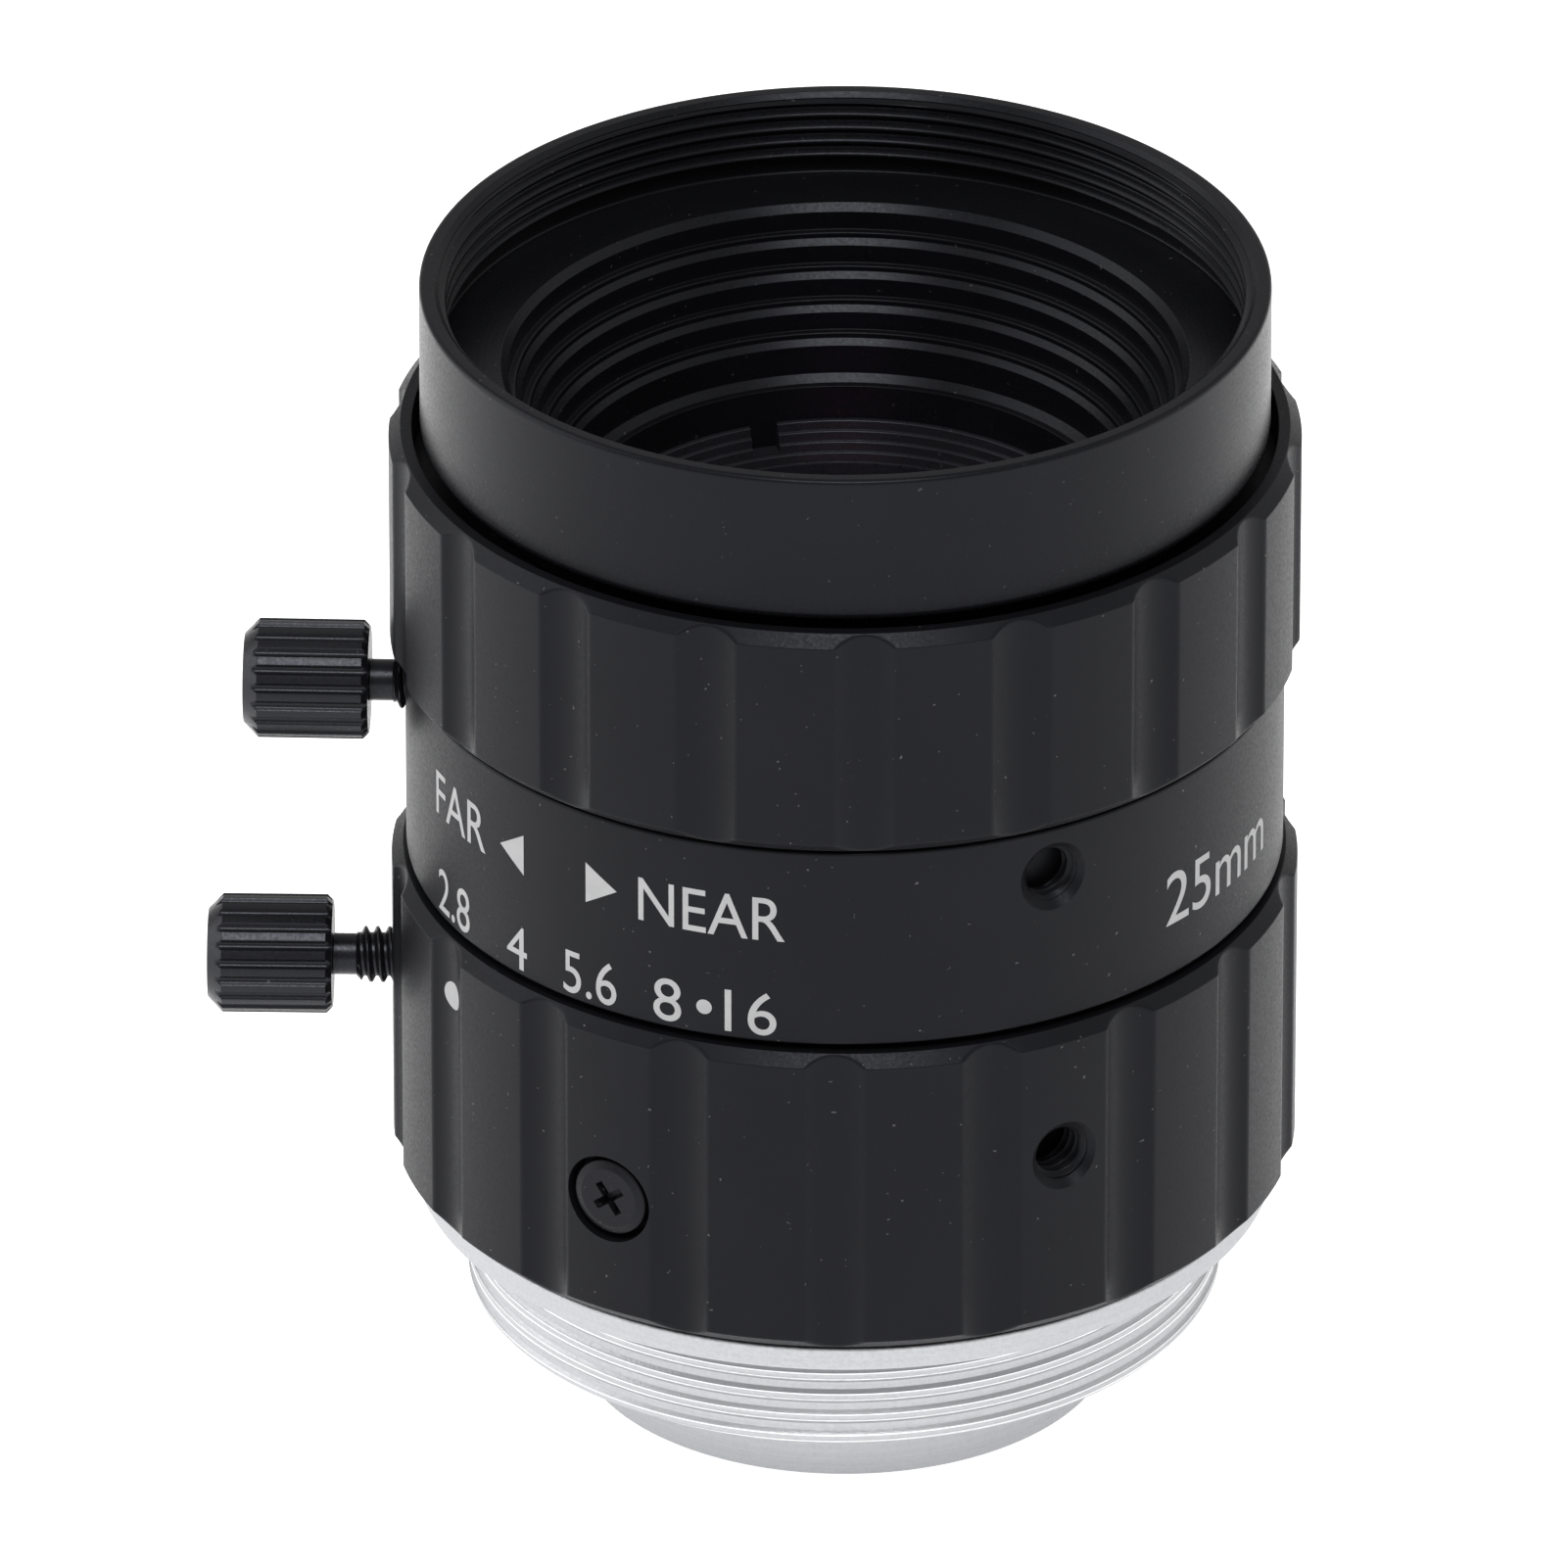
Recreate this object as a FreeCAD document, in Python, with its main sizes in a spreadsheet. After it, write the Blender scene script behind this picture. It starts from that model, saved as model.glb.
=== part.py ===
import FreeCAD, Part
import math
import os
import Sketcher

# A 25 mm lens for machine vision with a C-mount.
# The origin is the centre of the mount's flange face, +Z points to the front of the lens and
# azimuth 0 is the front side, -Y, with positive azimuths towards +X.
# Lengths are in millimetres, angles in degrees, and each piece is in its place at the stored pose:
# focus close to far, iris fully open, both lock screws tight.

SIZES = {
    # C-mount: thread 1-32 UN, flange and rear sleeve
    "thread_r": 12.7,
    "thread_len": 3.8,
    "thread_lead": 0.35,
    "flange_rim": 1.8,
    "flange_t": 0.85,
    "sleeve_step": 3.6,
    "sleeve_wall": 0.6,
    "tip_drop": 7.2,
    "spigot_step": 0.5,
    "spigot_len": 2.75,
    "spigot_wall": 0.7,
    "pocket_drop": 1.6,
    "edge": 0.15,
    # named clearances
    "running": 0.05,
    "end_play": 0.1,
    "ring_gap": 0.25,
    # rear barrel and fixed barrel
    "neck_wall": 1.2,
    "neck_body": 2.1,
    "collar_rise": 0.7,
    "collar_len": 2.45,
    "barrel_wall": 0.6,
    "barrel_len": 7.25,
    "barrel_step": 0.6,
    "barrel_shoulder": 1.2,
    # grip rings
    "grip_rise": 0.5,
    "groove_count": 18,
    "groove_w": 2.1,
    "groove_depth": 0.35,
    "ring_chamfer": 0.4,
    "focus_len": 8.15,
    "focus_phase": 2.5,
    "focus_gap": 0.15,
    "lip_wall": 0.8,
    "lip_depth": 1.6,
    "skirt_wall": 1.0,
    "retainer_step": 0.4,
    "retainer_t": 0.95,
    "iris_len": 11.2,
    "iris_phase": -1.2,
    # focus travel of the lens block
    "draw_in": 0.4,
    "draw_out": 2.4,
    "draw_gap": 0.4,
    "block_lift": 0.6,
    # lens barrel
    "joint_step": 0.35,
    "block_wall": 1.95,
    # front barrel
    "bezel_gap": 0.25,
    "bezel_clear": 0.3,
    "bezel_wall": 0.65,
    "bezel_len": 5.0,
    "bezel_edge": 0.17,
    "filter_depth": 0.25,
    "filter_len": 1.95,
    "relief_depth": 0.15,
    "hood_shoulder": 1.8,
    "hood_drop": 3.05,
    "hood_chamfer": 0.35,
    "hood_edge_drop": 3.95,
    "hood_step_r": 0.45,
    "hood_step_z": 1.03,
    "hood_lip_r": 0.06,
    "hood_lip_z": 0.24,
    "hood_steps": 4,
    "hood_floor": 0.4,
    "hood_base_drop": 8.7,
    # front optics
    "front_bore_step": 0.4,
    "front_seat_w": 0.4,
    "front_ring_drop": 1.2,
    "front_ring_len": 0.9,
    "front_ring_wall": 0.2,
    "ridge_count": 4,
    "ridge_z": 0.33,
    "front_glass_t": 2.6,
    "front_curve": 16.0,
    "front_back_curve": 45.0,
    "glass_gap": 0.3,
    "cell_wall": 2.7,
    "cell_step": 0.6,
    "crown_t": 3.3,
    "crown_curve": 11.0,
    "flint_t": 1.3,
    "flint_curve": 7.5,
    "flint_hollow": 2.3,
    "front_stop_w": 1.0,
    "cell_floor": 0.3,
    # rear optics
    "rear_flint_hollow": 1.8,
    "rear_flint_t": 1.1,
    "rear_flint_curve": 7.5,
    "rear_crown_t": 3.6,
    "rear_crown_curve": 10.5,
    "rear_doublet_wall": 1.0,
    "rear_stop_w": 0.8,
    "doublet_ring_wall": 1.2,
    "doublet_ring_w": 0.7,
    "doublet_ring_rise": 1.1,
    "rear_cell_gap": 0.3,
    "rear_cell_wall": 0.9,
    "rear_cell_seat": 1.2,
    "rear_cell_inset": 0.5,
    "rear_ring_step": 0.5,
    "rear_seat_w": 0.6,
    "rear_glass_lift": 3.9,
    "rear_glass_t": 2.6,
    "rear_front_curve": 40.0,
    "rear_back_curve": 26.0,
    "rear_ring_len": 1.6,
    "spanner_w": 0.95,
    "spanner_depth": 0.9,
    "spanner_azimuth": 18.3,
    # iris
    "stop_r": 4.1,
    "iris_floor_t": 0.4,
    "iris_wall": 0.6,
    "iris_hole_rim": 0.15,
    "blade_count": 6,
    "blade_t": 0.1,
    "blade_pitch": 0.18,
    "blade_gap": 0.08,
    "pivot_inset": 1.1,
    "wing_inset": 0.65,
    "wing_span": 125.0,
    "root_rim": 0.6,
    "root_span": 34.0,
    "root_back": 5.0,
    "drive_angle": 24.0,
    "blade_pin_r": 0.3,
    "tip_step": 0.05,
    "cam_t": 0.5,
    "cam_gap": 0.1,
    "cam_hole_rim": 0.4,
    "cam_fit": 0.08,
    "cover_w": 4.1,
    "cover_t": 0.72,
    "iris_turn": 50.0,
    "blade_turn": 26.0,
    # iris drive
    "drive_azimuth": -31.2,
    "drive_rise": 4.62,
    "drive_pin_r": 0.7,
    "drive_bite": 0.2,
    "drive_head_r": 1.25,
    "drive_head_t": 0.8,
    "drive_recess_gap": 0.33,
    "drive_recess_drop": 1.05,
    "recess_arm_w": 0.42,
    "recess_arm_len": 1.6,
    "recess_depth": 0.55,
    "recess_turn": 22.0,
    "fork_gap": 0.6,
    "fork_t": 0.9,
    "fork_w": 3.2,
    "fork_margin": 0.25,
    # lock screws and small screws
    "screw_r": 0.95,
    "sink_rise": 0.25,
    "sink_depth": 0.25,
    "screw_neck_r": 0.7,
    "screw_neck_len": 0.8,
    "knob_r": 2.0,
    "knob_len": 4.2,
    "knob_chamfer": 0.5,
    "knob_back_chamfer": 0.2,
    "knurl_count": 20,
    "knurl_r": 0.17,
    "focus_lock_azimuth": -92.0,
    "focus_lock_drop": 1.8,
    "focus_lock_stand": 1.2,
    "iris_lock_azimuth": -91.2,
    "iris_lock_rise": 6.5,
    "iris_lock_stand": 2.0,
    "guide_azimuth": 150.0,
    "guide_rise": 7.4,
    "guide_dog_r": 0.75,
    "guide_bite": 0.65,
    "grub_r": 0.8,
    "grub_azimuth": 30.0,
    "grub_count": 3,
    "slot_w": 0.3,
    "slot_depth": 0.4,
}


class Size:
    # A number together with the sheet expression that gives it.
    def __init__(self, text, number):
        self.text = text
        self.number = number

    def __add__(self, other):
        other = as_size(other)
        return Size(f"({self.text} + {other.text})", self.number + other.number)

    def __sub__(self, other):
        other = as_size(other)
        return Size(f"({self.text} - {other.text})", self.number - other.number)

    def __mul__(self, other):
        other = as_size(other)
        return Size(f"({self.text} * {other.text})", self.number * other.number)

    def __truediv__(self, other):
        other = as_size(other)
        return Size(f"({self.text} / {other.text})", self.number / other.number)

    def __rtruediv__(self, other):
        return as_size(other) / self

    def __neg__(self):
        return Size(f"(0 - {self.text})", -self.number)


def as_size(value):
    return value if isinstance(value, Size) else Size(repr(value), float(value))


def sag(curve, radius):
    # Depth of a sphere's cap at a radius from its pole.
    depth = curve.number - math.sqrt(curve.number ** 2 - radius.number ** 2)
    return Size(f"({curve.text} - sqrt({curve.text}^2 - {radius.text}^2))", depth)


class Sheet:
    # The spreadsheet of driving dimensions, read back as Size values.
    def __init__(self, document, sizes):
        self.cells = document.addObject("Spreadsheet::Sheet", "Sizes")
        for row, (alias, number) in enumerate(sizes.items(), start=1):
            self.cells.set(f"A{row}", alias)
            self.cells.set(f"B{row}", str(number))
            self.cells.setAlias(f"B{row}", alias)
        document.recompute()

    def __getattr__(self, alias):
        return Size(f"Sizes.{alias}", float(self.cells.get(alias)))


doc = FreeCAD.newDocument("c_mount_lens")
d = Sheet(doc, SIZES)
ZERO = as_size(0)


def bind(thing, **sizes):
    for name, value in sizes.items():
        thing.setExpression(name, as_size(value).text)


def origin_plane(body, role):
    return [item for item in body.Origin.OriginFeatures if item.Role == role][0]


def sketch_on(body, role, label):
    sketch = body.newObject("Sketcher::SketchObject", label)
    sketch.AttachmentSupport = [(origin_plane(body, role), "")]
    sketch.MapMode = "FlatFace"
    return sketch


def turned(label, outline):
    # A turned piece: a closed outline of (radius, height) points, revolved about Z.
    body = doc.addObject("PartDesign::Body", label.replace(" ", "_"))
    body.Label = label
    sketch = sketch_on(body, "XZ_Plane", body.Name + "_outline")
    points = [(as_size(radius), as_size(height)) for radius, height in outline]
    count = len(points)
    for index, (radius, height) in enumerate(points):
        following = points[(index + 1) % count]
        start = FreeCAD.Vector(radius.number, height.number, 0)
        end = FreeCAD.Vector(following[0].number, following[1].number, 0)
        sketch.addGeometry(Part.LineSegment(start, end), False)
    for index in range(count):
        sketch.addConstraint(Sketcher.Constraint("Coincident", index, 2, (index + 1) % count, 1))
    for index, point in enumerate(points):
        for kind, value in zip(("DistanceX", "DistanceY"), point):
            number = sketch.addConstraint(Sketcher.Constraint(kind, index, 1, value.number))
            sketch.setExpression(f"Constraints[{number}]", value.text)
    turning = body.newObject("PartDesign::Revolution", body.Name + "_turning")
    turning.Profile = sketch
    turning.ReferenceAxis = (sketch, ["V_Axis"])
    turning.Angle = 360
    sketch.Visibility = False
    return body


def pattern_of_grooves(body, cutter_r, centre_r, phase, count):
    # Round-bottomed grooves along the whole length, evenly spaced round the axis.
    sketch = sketch_on(body, "XY_Plane", body.Name + "_groove")
    angle = math.radians(phase.number)
    centre = FreeCAD.Vector(centre_r.number * math.cos(angle), centre_r.number * math.sin(angle), 0)
    sketch.addGeometry(Part.Circle(centre, FreeCAD.Vector(0, 0, 1), cutter_r.number), False)
    values = {
        "Radius": (cutter_r.number, cutter_r.text),
        "DistanceX": (centre.x, f"{centre_r.text} * cos({phase.text} * 1 deg)"),
        "DistanceY": (centre.y, f"{centre_r.text} * sin({phase.text} * 1 deg)"),
    }
    for kind, (number, text) in values.items():
        where = (0,) if kind == "Radius" else (0, 3)
        index = sketch.addConstraint(Sketcher.Constraint(kind, *where, number))
        sketch.setExpression(f"Constraints[{index}]", text)
    pocket = body.newObject("PartDesign::Pocket", body.Name + "_cut")
    pocket.Profile = sketch
    pocket.Type = "ThroughAll"
    pocket.Midplane = True
    pattern = body.newObject("PartDesign::PolarPattern", body.Name + "_round")
    pattern.Originals = [pocket]
    pattern.Axis = (sketch, ["N_Axis"])
    pattern.Angle = 360
    bind(pattern, Occurrences=count)
    body.Tip = pattern
    return body


def upright(turn, radius, height):
    # Placement turned about Z, then moved out along the turned X and up.
    out, up = as_size(radius), as_size(height)
    turned_by = f"placement(vector(0; 0; 0); rotation(vector(0; 0; 1); {as_size(turn).text}))"
    return f"{turned_by} * placement(vector({out.text}; 0; {up.text}); rotation(vector(0; 0; 1); 0))"


def radial(azimuth, radius, height, twist=0):
    # Placement whose own +Z points outwards at an azimuth, starting at a radius.
    out, up = as_size(radius), as_size(height)
    turned_by = f"placement(vector(0; 0; {up.text}); rotation(vector(0; 0; 1); {azimuth.text} - 90))"
    laid_out = f"placement(vector({out.text}; 0; 0); rotation(vector(0; 1; 0); 90))"
    spun = f"placement(vector(0; 0; 0); rotation(vector(0; 0; 1); {as_size(twist).text}))"
    return f"{turned_by} * {laid_out} * {spun}"


def cylinder(label, radius, height, place=None, angle=None):
    rod = doc.addObject("Part::Cylinder", label.replace(" ", "_"))
    rod.Label = label
    bind(rod, Radius=radius, Height=height)
    if angle is not None:
        bind(rod, Angle=angle)
    if place:
        rod.setExpression("Placement", place)
    return rod


def cone(label, radius_low, radius_high, height, place):
    item = doc.addObject("Part::Cone", label.replace(" ", "_"))
    item.Label = label
    bind(item, Radius1=radius_low, Radius2=radius_high, Height=height)
    item.setExpression("Placement", place)
    return item


def box(label, length, width, height, place, lift=0):
    # A box centred on its placement's X and Y, from lift upwards along Z.
    item = doc.addObject("Part::Box", label.replace(" ", "_"))
    item.Label = label
    bind(item, Length=length, Width=width, Height=height)
    half_length, half_width = as_size(length) / 2, as_size(width) / 2
    centred = f"vector(0 - {half_length.text}; 0 - {half_width.text}; {as_size(lift).text})"
    item.setExpression("Placement", f"{place} * placement({centred}; rotation(vector(0; 0; 1); 0))")
    return item


def ball(label, radius, height):
    item = doc.addObject("Part::Sphere", label.replace(" ", "_"))
    item.Label = label
    bind(item, Radius=radius)
    item.setExpression("Placement", upright(0, 0, height))
    return item


def fuse(label, *pieces):
    joined = doc.addObject("Part::MultiFuse", label.replace(" ", "_"))
    joined.Label = label
    joined.Shapes = list(pieces)
    return joined


def cut(label, base, *tools):
    tool = tools[0] if len(tools) == 1 else fuse(label + " tools", *tools)
    result = doc.addObject("Part::Cut", label.replace(" ", "_"))
    result.Label = label
    result.Base = base
    result.Tool = tool
    return result


def common(label, first, second):
    result = doc.addObject("Part::MultiCommon", label.replace(" ", "_"))
    result.Label = label
    result.Shapes = [first, second]
    return result


def sector(label, inner_r, outer_r, base, height, azimuth_from, span):
    # A block between two radii over part of the circle.
    start = azimuth_from - 90
    place = upright(start, 0, base)
    whole = cylinder(label + " outer", outer_r, height, place, span)
    core = cylinder(label + " core", inner_r, height, place, span)
    return cut(label, whole, core)


# Radii, each stepping in or out from the one before, starting at the C-mount thread.
d.flange_r = d.thread_r + d.flange_rim
d.sleeve_r = d.thread_r - d.sleeve_step
d.spigot_r = d.thread_r - d.spigot_step
d.pocket_r = d.spigot_r - d.spigot_wall
d.neck_r = d.spigot_r + d.neck_wall
d.collar_r = d.neck_r + d.collar_rise
d.barrel_r = d.collar_r + d.barrel_wall
d.land_r = d.barrel_r + d.grip_rise
d.skirt_r = d.collar_r - d.barrel_step
d.skirt_step_r = d.skirt_r - d.retainer_step
d.helicoid_r = d.skirt_r - d.skirt_wall - d.running
d.lip_r = d.land_r - d.lip_wall
d.bezel_r = d.lip_r - d.bezel_gap
d.rim_in_r = d.bezel_r - d.bezel_wall
d.filter_r = d.rim_in_r - d.filter_depth
d.hood_r = d.filter_r - d.hood_shoulder
d.hood_wall_r = d.hood_r - d.hood_chamfer
d.hood_last_r = d.hood_wall_r - d.hood_step_r * d.hood_steps
d.cell_thread_r = d.hood_last_r - d.hood_floor
d.front_glass_r = d.cell_thread_r - d.front_bore_step
d.front_seat_r = d.front_glass_r - d.front_seat_w
d.block_r = d.neck_r - d.neck_body - d.running
d.joint_r = d.block_r - d.joint_step
d.cell_r = d.block_r - d.block_wall
d.doublet_r = d.cell_r - d.cell_wall
d.front_stop_r = d.doublet_r - d.front_stop_w
d.rear_cell_r = d.sleeve_r - d.sleeve_wall - d.rear_cell_gap
d.rear_ring_r = d.rear_cell_r - d.rear_cell_wall
d.rear_glass_r = d.rear_ring_r - d.rear_ring_step
d.rear_ring_in_r = d.rear_glass_r - d.rear_ring_step
d.rear_seat_r = d.rear_glass_r - d.rear_seat_w
d.doublet_ring_r = d.rear_cell_r - d.doublet_ring_wall
d.rear_doublet_r = d.doublet_ring_r - d.rear_doublet_wall
d.rear_stop_r = d.rear_doublet_r - d.rear_stop_w
d.doublet_ring_in_r = d.rear_doublet_r - d.doublet_ring_w
d.case_in_r = d.cell_r - d.iris_wall
d.pivot_r = d.case_in_r - d.pivot_inset
d.wing_r = d.pivot_r - d.wing_inset
d.root_r = d.pivot_r + d.root_rim
d.iris_hole_r = d.stop_r + d.iris_hole_rim
d.cam_hole_r = d.stop_r + d.cam_hole_rim
d.cover_in_r = d.cell_r - d.cover_w
d.fork_in_r = d.cell_r + d.fork_gap
d.fork_out_r = d.fork_in_r + d.fork_t
d.drive_tip_r = d.fork_in_r + d.drive_bite
d.drive_recess_r = d.drive_head_r + d.drive_recess_gap
d.drive_recess_floor_r = d.land_r - d.drive_recess_drop
d.focus_lock_reach = d.barrel_r + d.focus_lock_stand
d.iris_lock_reach = d.land_r + d.iris_lock_stand
d.tapped_r = d.screw_r + d.running
d.sink_r = d.tapped_r + d.sink_rise
d.guide_tip_r = d.block_r - d.guide_bite
d.guide_shoulder_r = d.block_r + d.guide_bite
guide_bore = d.block_r + d.running

# Heights, from the flange upwards through the rings to the front rim.
iris_base = d.flange_t + d.ring_gap
iris_top = iris_base + d.iris_len
d.barrel_base = iris_top + d.ring_gap
barrel_top = d.barrel_base + d.barrel_len
collar_top = d.barrel_base + d.collar_len
focus_base = barrel_top + d.focus_gap
focus_top = focus_base + d.focus_len
retainer_base = collar_top + d.focus_gap
retainer_top = retainer_base + d.retainer_t
shoulder_z = collar_top + d.barrel_shoulder
bezel_base = focus_top + d.bezel_clear
d.front_z = bezel_base + d.bezel_len
d.helicoid_base = collar_top + d.draw_in + d.draw_gap
d.block_base = d.draw_in + d.block_lift
hood_floor_z = d.front_z - d.hood_base_drop

# Heights of the optics, from the front element backwards to the iris and the rear doublet.
d.front_ring_top = hood_floor_z - d.front_ring_drop
d.front_glass_z = d.front_ring_top - d.front_ring_len
front_back_z = d.front_glass_z - d.front_glass_t
cell_top = front_back_z - sag(d.front_back_curve, d.front_glass_r)
joint_top = cell_top - d.cell_step / 3
d.crown_z = front_back_z - d.glass_gap
d.cement_z = d.crown_z - d.crown_t
d.flint_z = d.cement_z - d.flint_t
d.flint_rim_z = d.flint_z - d.flint_hollow
cell_base = d.flint_rim_z - d.cell_floor
cover_base = cell_base - d.cover_t
cam_top = cover_base - d.cam_gap
cam_base = cam_top - d.cam_t
blade_top = cam_base - d.cam_gap
blade_base = blade_top - d.blade_t - d.blade_pitch * (d.blade_count - 1)
iris_floor = blade_base - d.blade_gap - d.iris_floor_t
d.rear_flint_rim_z = iris_floor - d.cell_floor + d.cam_gap
d.rear_flint_z = d.rear_flint_rim_z - d.rear_flint_hollow
d.rear_cement_z = d.rear_flint_z - d.rear_flint_t
d.rear_crown_z = d.rear_cement_z - d.rear_crown_t
d.doublet_ring_seat = d.rear_crown_z + d.doublet_ring_rise
d.rear_cell_top = d.block_base + d.rear_cell_seat
rear_cell_base = d.rear_cell_inset - d.tip_drop
d.rear_glass_z = rear_cell_base + d.rear_glass_lift
rear_back_z = d.rear_glass_z - d.rear_glass_t

# Heights of the screws and of the iris fork.
d.drive_z = iris_base + d.drive_rise
d.iris_lock_z = iris_base + d.iris_lock_rise
d.focus_lock_z = barrel_top - d.focus_lock_drop
d.guide_z = iris_base + d.guide_rise
d.grub_z = d.flange_t + d.spigot_len / 2
fork_slot_top = d.drive_z + d.draw_in + d.drive_pin_r + d.fork_margin
fork_base = d.drive_z - d.draw_out - d.drive_pin_r - d.fork_margin
fork_spread = (d.fork_w / 2 + d.fork_margin) / d.case_in_r * (180 / math.pi)


def mount_ring():
    edge = d.edge
    base = -d.tip_drop
    return turned("mount_ring", [
        (d.sleeve_r - d.sleeve_wall, base),
        (d.sleeve_r - edge, base),
        (d.sleeve_r, base + edge),
        (d.sleeve_r, -d.thread_len),
        (d.thread_r - d.thread_lead, -d.thread_len),
        (d.thread_r, d.thread_lead - d.thread_len),
        (d.thread_r, ZERO),
        (d.flange_r - edge, ZERO),
        (d.flange_r, edge),
        (d.flange_r, d.flange_t - edge),
        (d.flange_r - edge, d.flange_t),
        (d.spigot_r, d.flange_t),
        (d.spigot_r, d.flange_t + d.spigot_len),
        (d.pocket_r, d.flange_t + d.spigot_len),
        (d.pocket_r, -d.pocket_drop),
        (d.sleeve_r - d.sleeve_wall, -d.pocket_drop),
    ])


def rear_barrel():
    shell = turned("rear_barrel blank", [
        (d.spigot_r, d.flange_t),
        (d.neck_r, d.flange_t),
        (d.neck_r, d.barrel_base),
        (d.collar_r, d.barrel_base),
        (d.collar_r, collar_top),
        (guide_bore, collar_top),
        (guide_bore, d.flange_t + d.spigot_len),
        (d.spigot_r, d.flange_t + d.spigot_len),
    ])
    # The drive pin sweeps along this slot, which is also the stop at both ends.
    slot_half = d.drive_pin_r + d.end_play
    pin_spread = 4.0
    slot = sector("pin slot", guide_bore - 1, d.neck_r + 1, d.drive_z - slot_half, slot_half * 2,
                  d.drive_azimuth - pin_spread, d.iris_turn + 2 * pin_spread)
    guide = cylinder("guide screw hole", d.tapped_r, d.neck_r, radial(d.guide_azimuth, d.block_base, d.guide_z))
    grubs = [
        cylinder(f"grub hole {index}", d.grub_r, d.neck_r - d.spigot_r + 2,
                 radial(d.grub_azimuth + 360 / d.grub_count * index, d.spigot_r - 1, d.grub_z))
        for index in range(int(d.grub_count.number))
    ]
    return cut("rear_barrel", shell, slot, guide, *grubs)


def tapped_holes(label, azimuth, height, wall_in, surface_r):
    # Three holes at 120 degrees, each with a small countersink at the surface.
    tools = []
    for index in range(3):
        where = azimuth + 120 * index
        place = radial(where, wall_in, height)
        tools.append(cylinder(f"{label} hole {index}", d.tapped_r, surface_r - wall_in + 1, place))
        sink_place = radial(where, surface_r - d.sink_depth, height)
        wide_r = d.sink_r + (d.sink_r - d.tapped_r)
        tools.append(cone(f"{label} sink {index}", d.tapped_r, wide_r, d.sink_depth * 2, sink_place))
    return tools


def fixed_barrel():
    edge = d.edge
    shell = turned("fixed_barrel blank", [
        (d.collar_r, d.barrel_base),
        (d.barrel_r - edge, d.barrel_base),
        (d.barrel_r, d.barrel_base + edge),
        (d.barrel_r, barrel_top - edge),
        (d.barrel_r - edge, barrel_top),
        (d.skirt_r + d.running, barrel_top),
        (d.skirt_r + d.running, shoulder_z),
        (d.collar_r, shoulder_z),
    ])
    holes = tapped_holes("focus lock", d.focus_lock_azimuth, d.focus_lock_z, d.skirt_r - 1, d.barrel_r)
    return cut("fixed_barrel", shell, *holes)


def grip_ring(label, outline, phase):
    # The cutter's radius gives the groove its width at its depth.
    half = d.groove_w / 2
    cutter_r = (half * half + d.groove_depth * d.groove_depth) / (d.groove_depth * 2)
    centre_r = d.land_r - d.groove_depth + cutter_r
    body = turned(label, outline)
    return pattern_of_grooves(body, cutter_r, centre_r, phase - 90, d.groove_count)


def focus_ring():
    bore = d.helicoid_r + d.running
    outline = [
        (bore, retainer_base),
        (d.skirt_step_r, retainer_base),
        (d.skirt_step_r, retainer_top),
        (d.skirt_r, retainer_top),
        (d.skirt_r, focus_base),
        (d.land_r - d.ring_chamfer, focus_base),
        (d.land_r, focus_base + d.ring_chamfer),
        (d.land_r, focus_top - d.ring_chamfer),
        (d.land_r - d.ring_chamfer, focus_top),
        (d.lip_r, focus_top),
        (d.lip_r, focus_top - d.lip_depth),
        (bore, focus_top - d.lip_depth),
    ]
    return grip_ring("focus_ring", outline, d.focus_phase)


def focus_retainer():
    outer = d.collar_r - d.end_play
    return turned("focus_retainer", [
        (d.skirt_step_r, retainer_base),
        (outer, retainer_base),
        (outer, retainer_top),
        (d.skirt_step_r, retainer_top),
    ])


def iris_ring():
    bore = d.neck_r + d.running
    ring = grip_ring("iris_ring blank", [
        (bore, iris_base),
        (d.land_r - d.ring_chamfer, iris_base),
        (d.land_r, iris_base + d.ring_chamfer),
        (d.land_r, iris_top - d.ring_chamfer),
        (d.land_r - d.ring_chamfer, iris_top),
        (bore, iris_top),
    ], d.iris_phase)
    holes = tapped_holes("iris lock", d.iris_lock_azimuth, d.iris_lock_z, d.neck_r - 1, d.land_r)
    pin_hole = cylinder("drive screw hole", d.drive_pin_r, d.land_r - d.neck_r,
                        radial(d.drive_azimuth, d.neck_r - 1, d.drive_z))
    recess = cylinder("drive screw recess", d.drive_recess_r, d.land_r,
                      radial(d.drive_azimuth, d.drive_recess_floor_r, d.drive_z))
    return cut("iris_ring", ring, *holes, pin_hole, recess)


def iris_drive_screw():
    # Built along its own axis from the pin's tip to the head, with a cross recess.
    length = d.drive_recess_floor_r - d.drive_tip_r
    place = radial(d.drive_azimuth, d.drive_tip_r, d.drive_z, d.recess_turn)
    head_top = length + d.drive_head_t
    blank = turned("drive screw blank", [
        (ZERO, ZERO),
        (d.drive_pin_r, ZERO),
        (d.drive_pin_r, length),
        (d.drive_head_r, length),
        (d.drive_head_r, head_top - d.edge),
        (d.drive_head_r - d.edge, head_top),
        (ZERO, head_top),
    ])
    blank.setExpression("Placement", place)
    arms = [
        box("recess arm", d.recess_arm_len, d.recess_arm_w, d.recess_depth * 2, place, head_top - d.recess_depth),
        box("recess crossing arm", d.recess_arm_w, d.recess_arm_len, d.recess_depth * 2, place,
            head_top - d.recess_depth),
    ]
    return cut("iris_drive_screw", blank, *arms)


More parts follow.
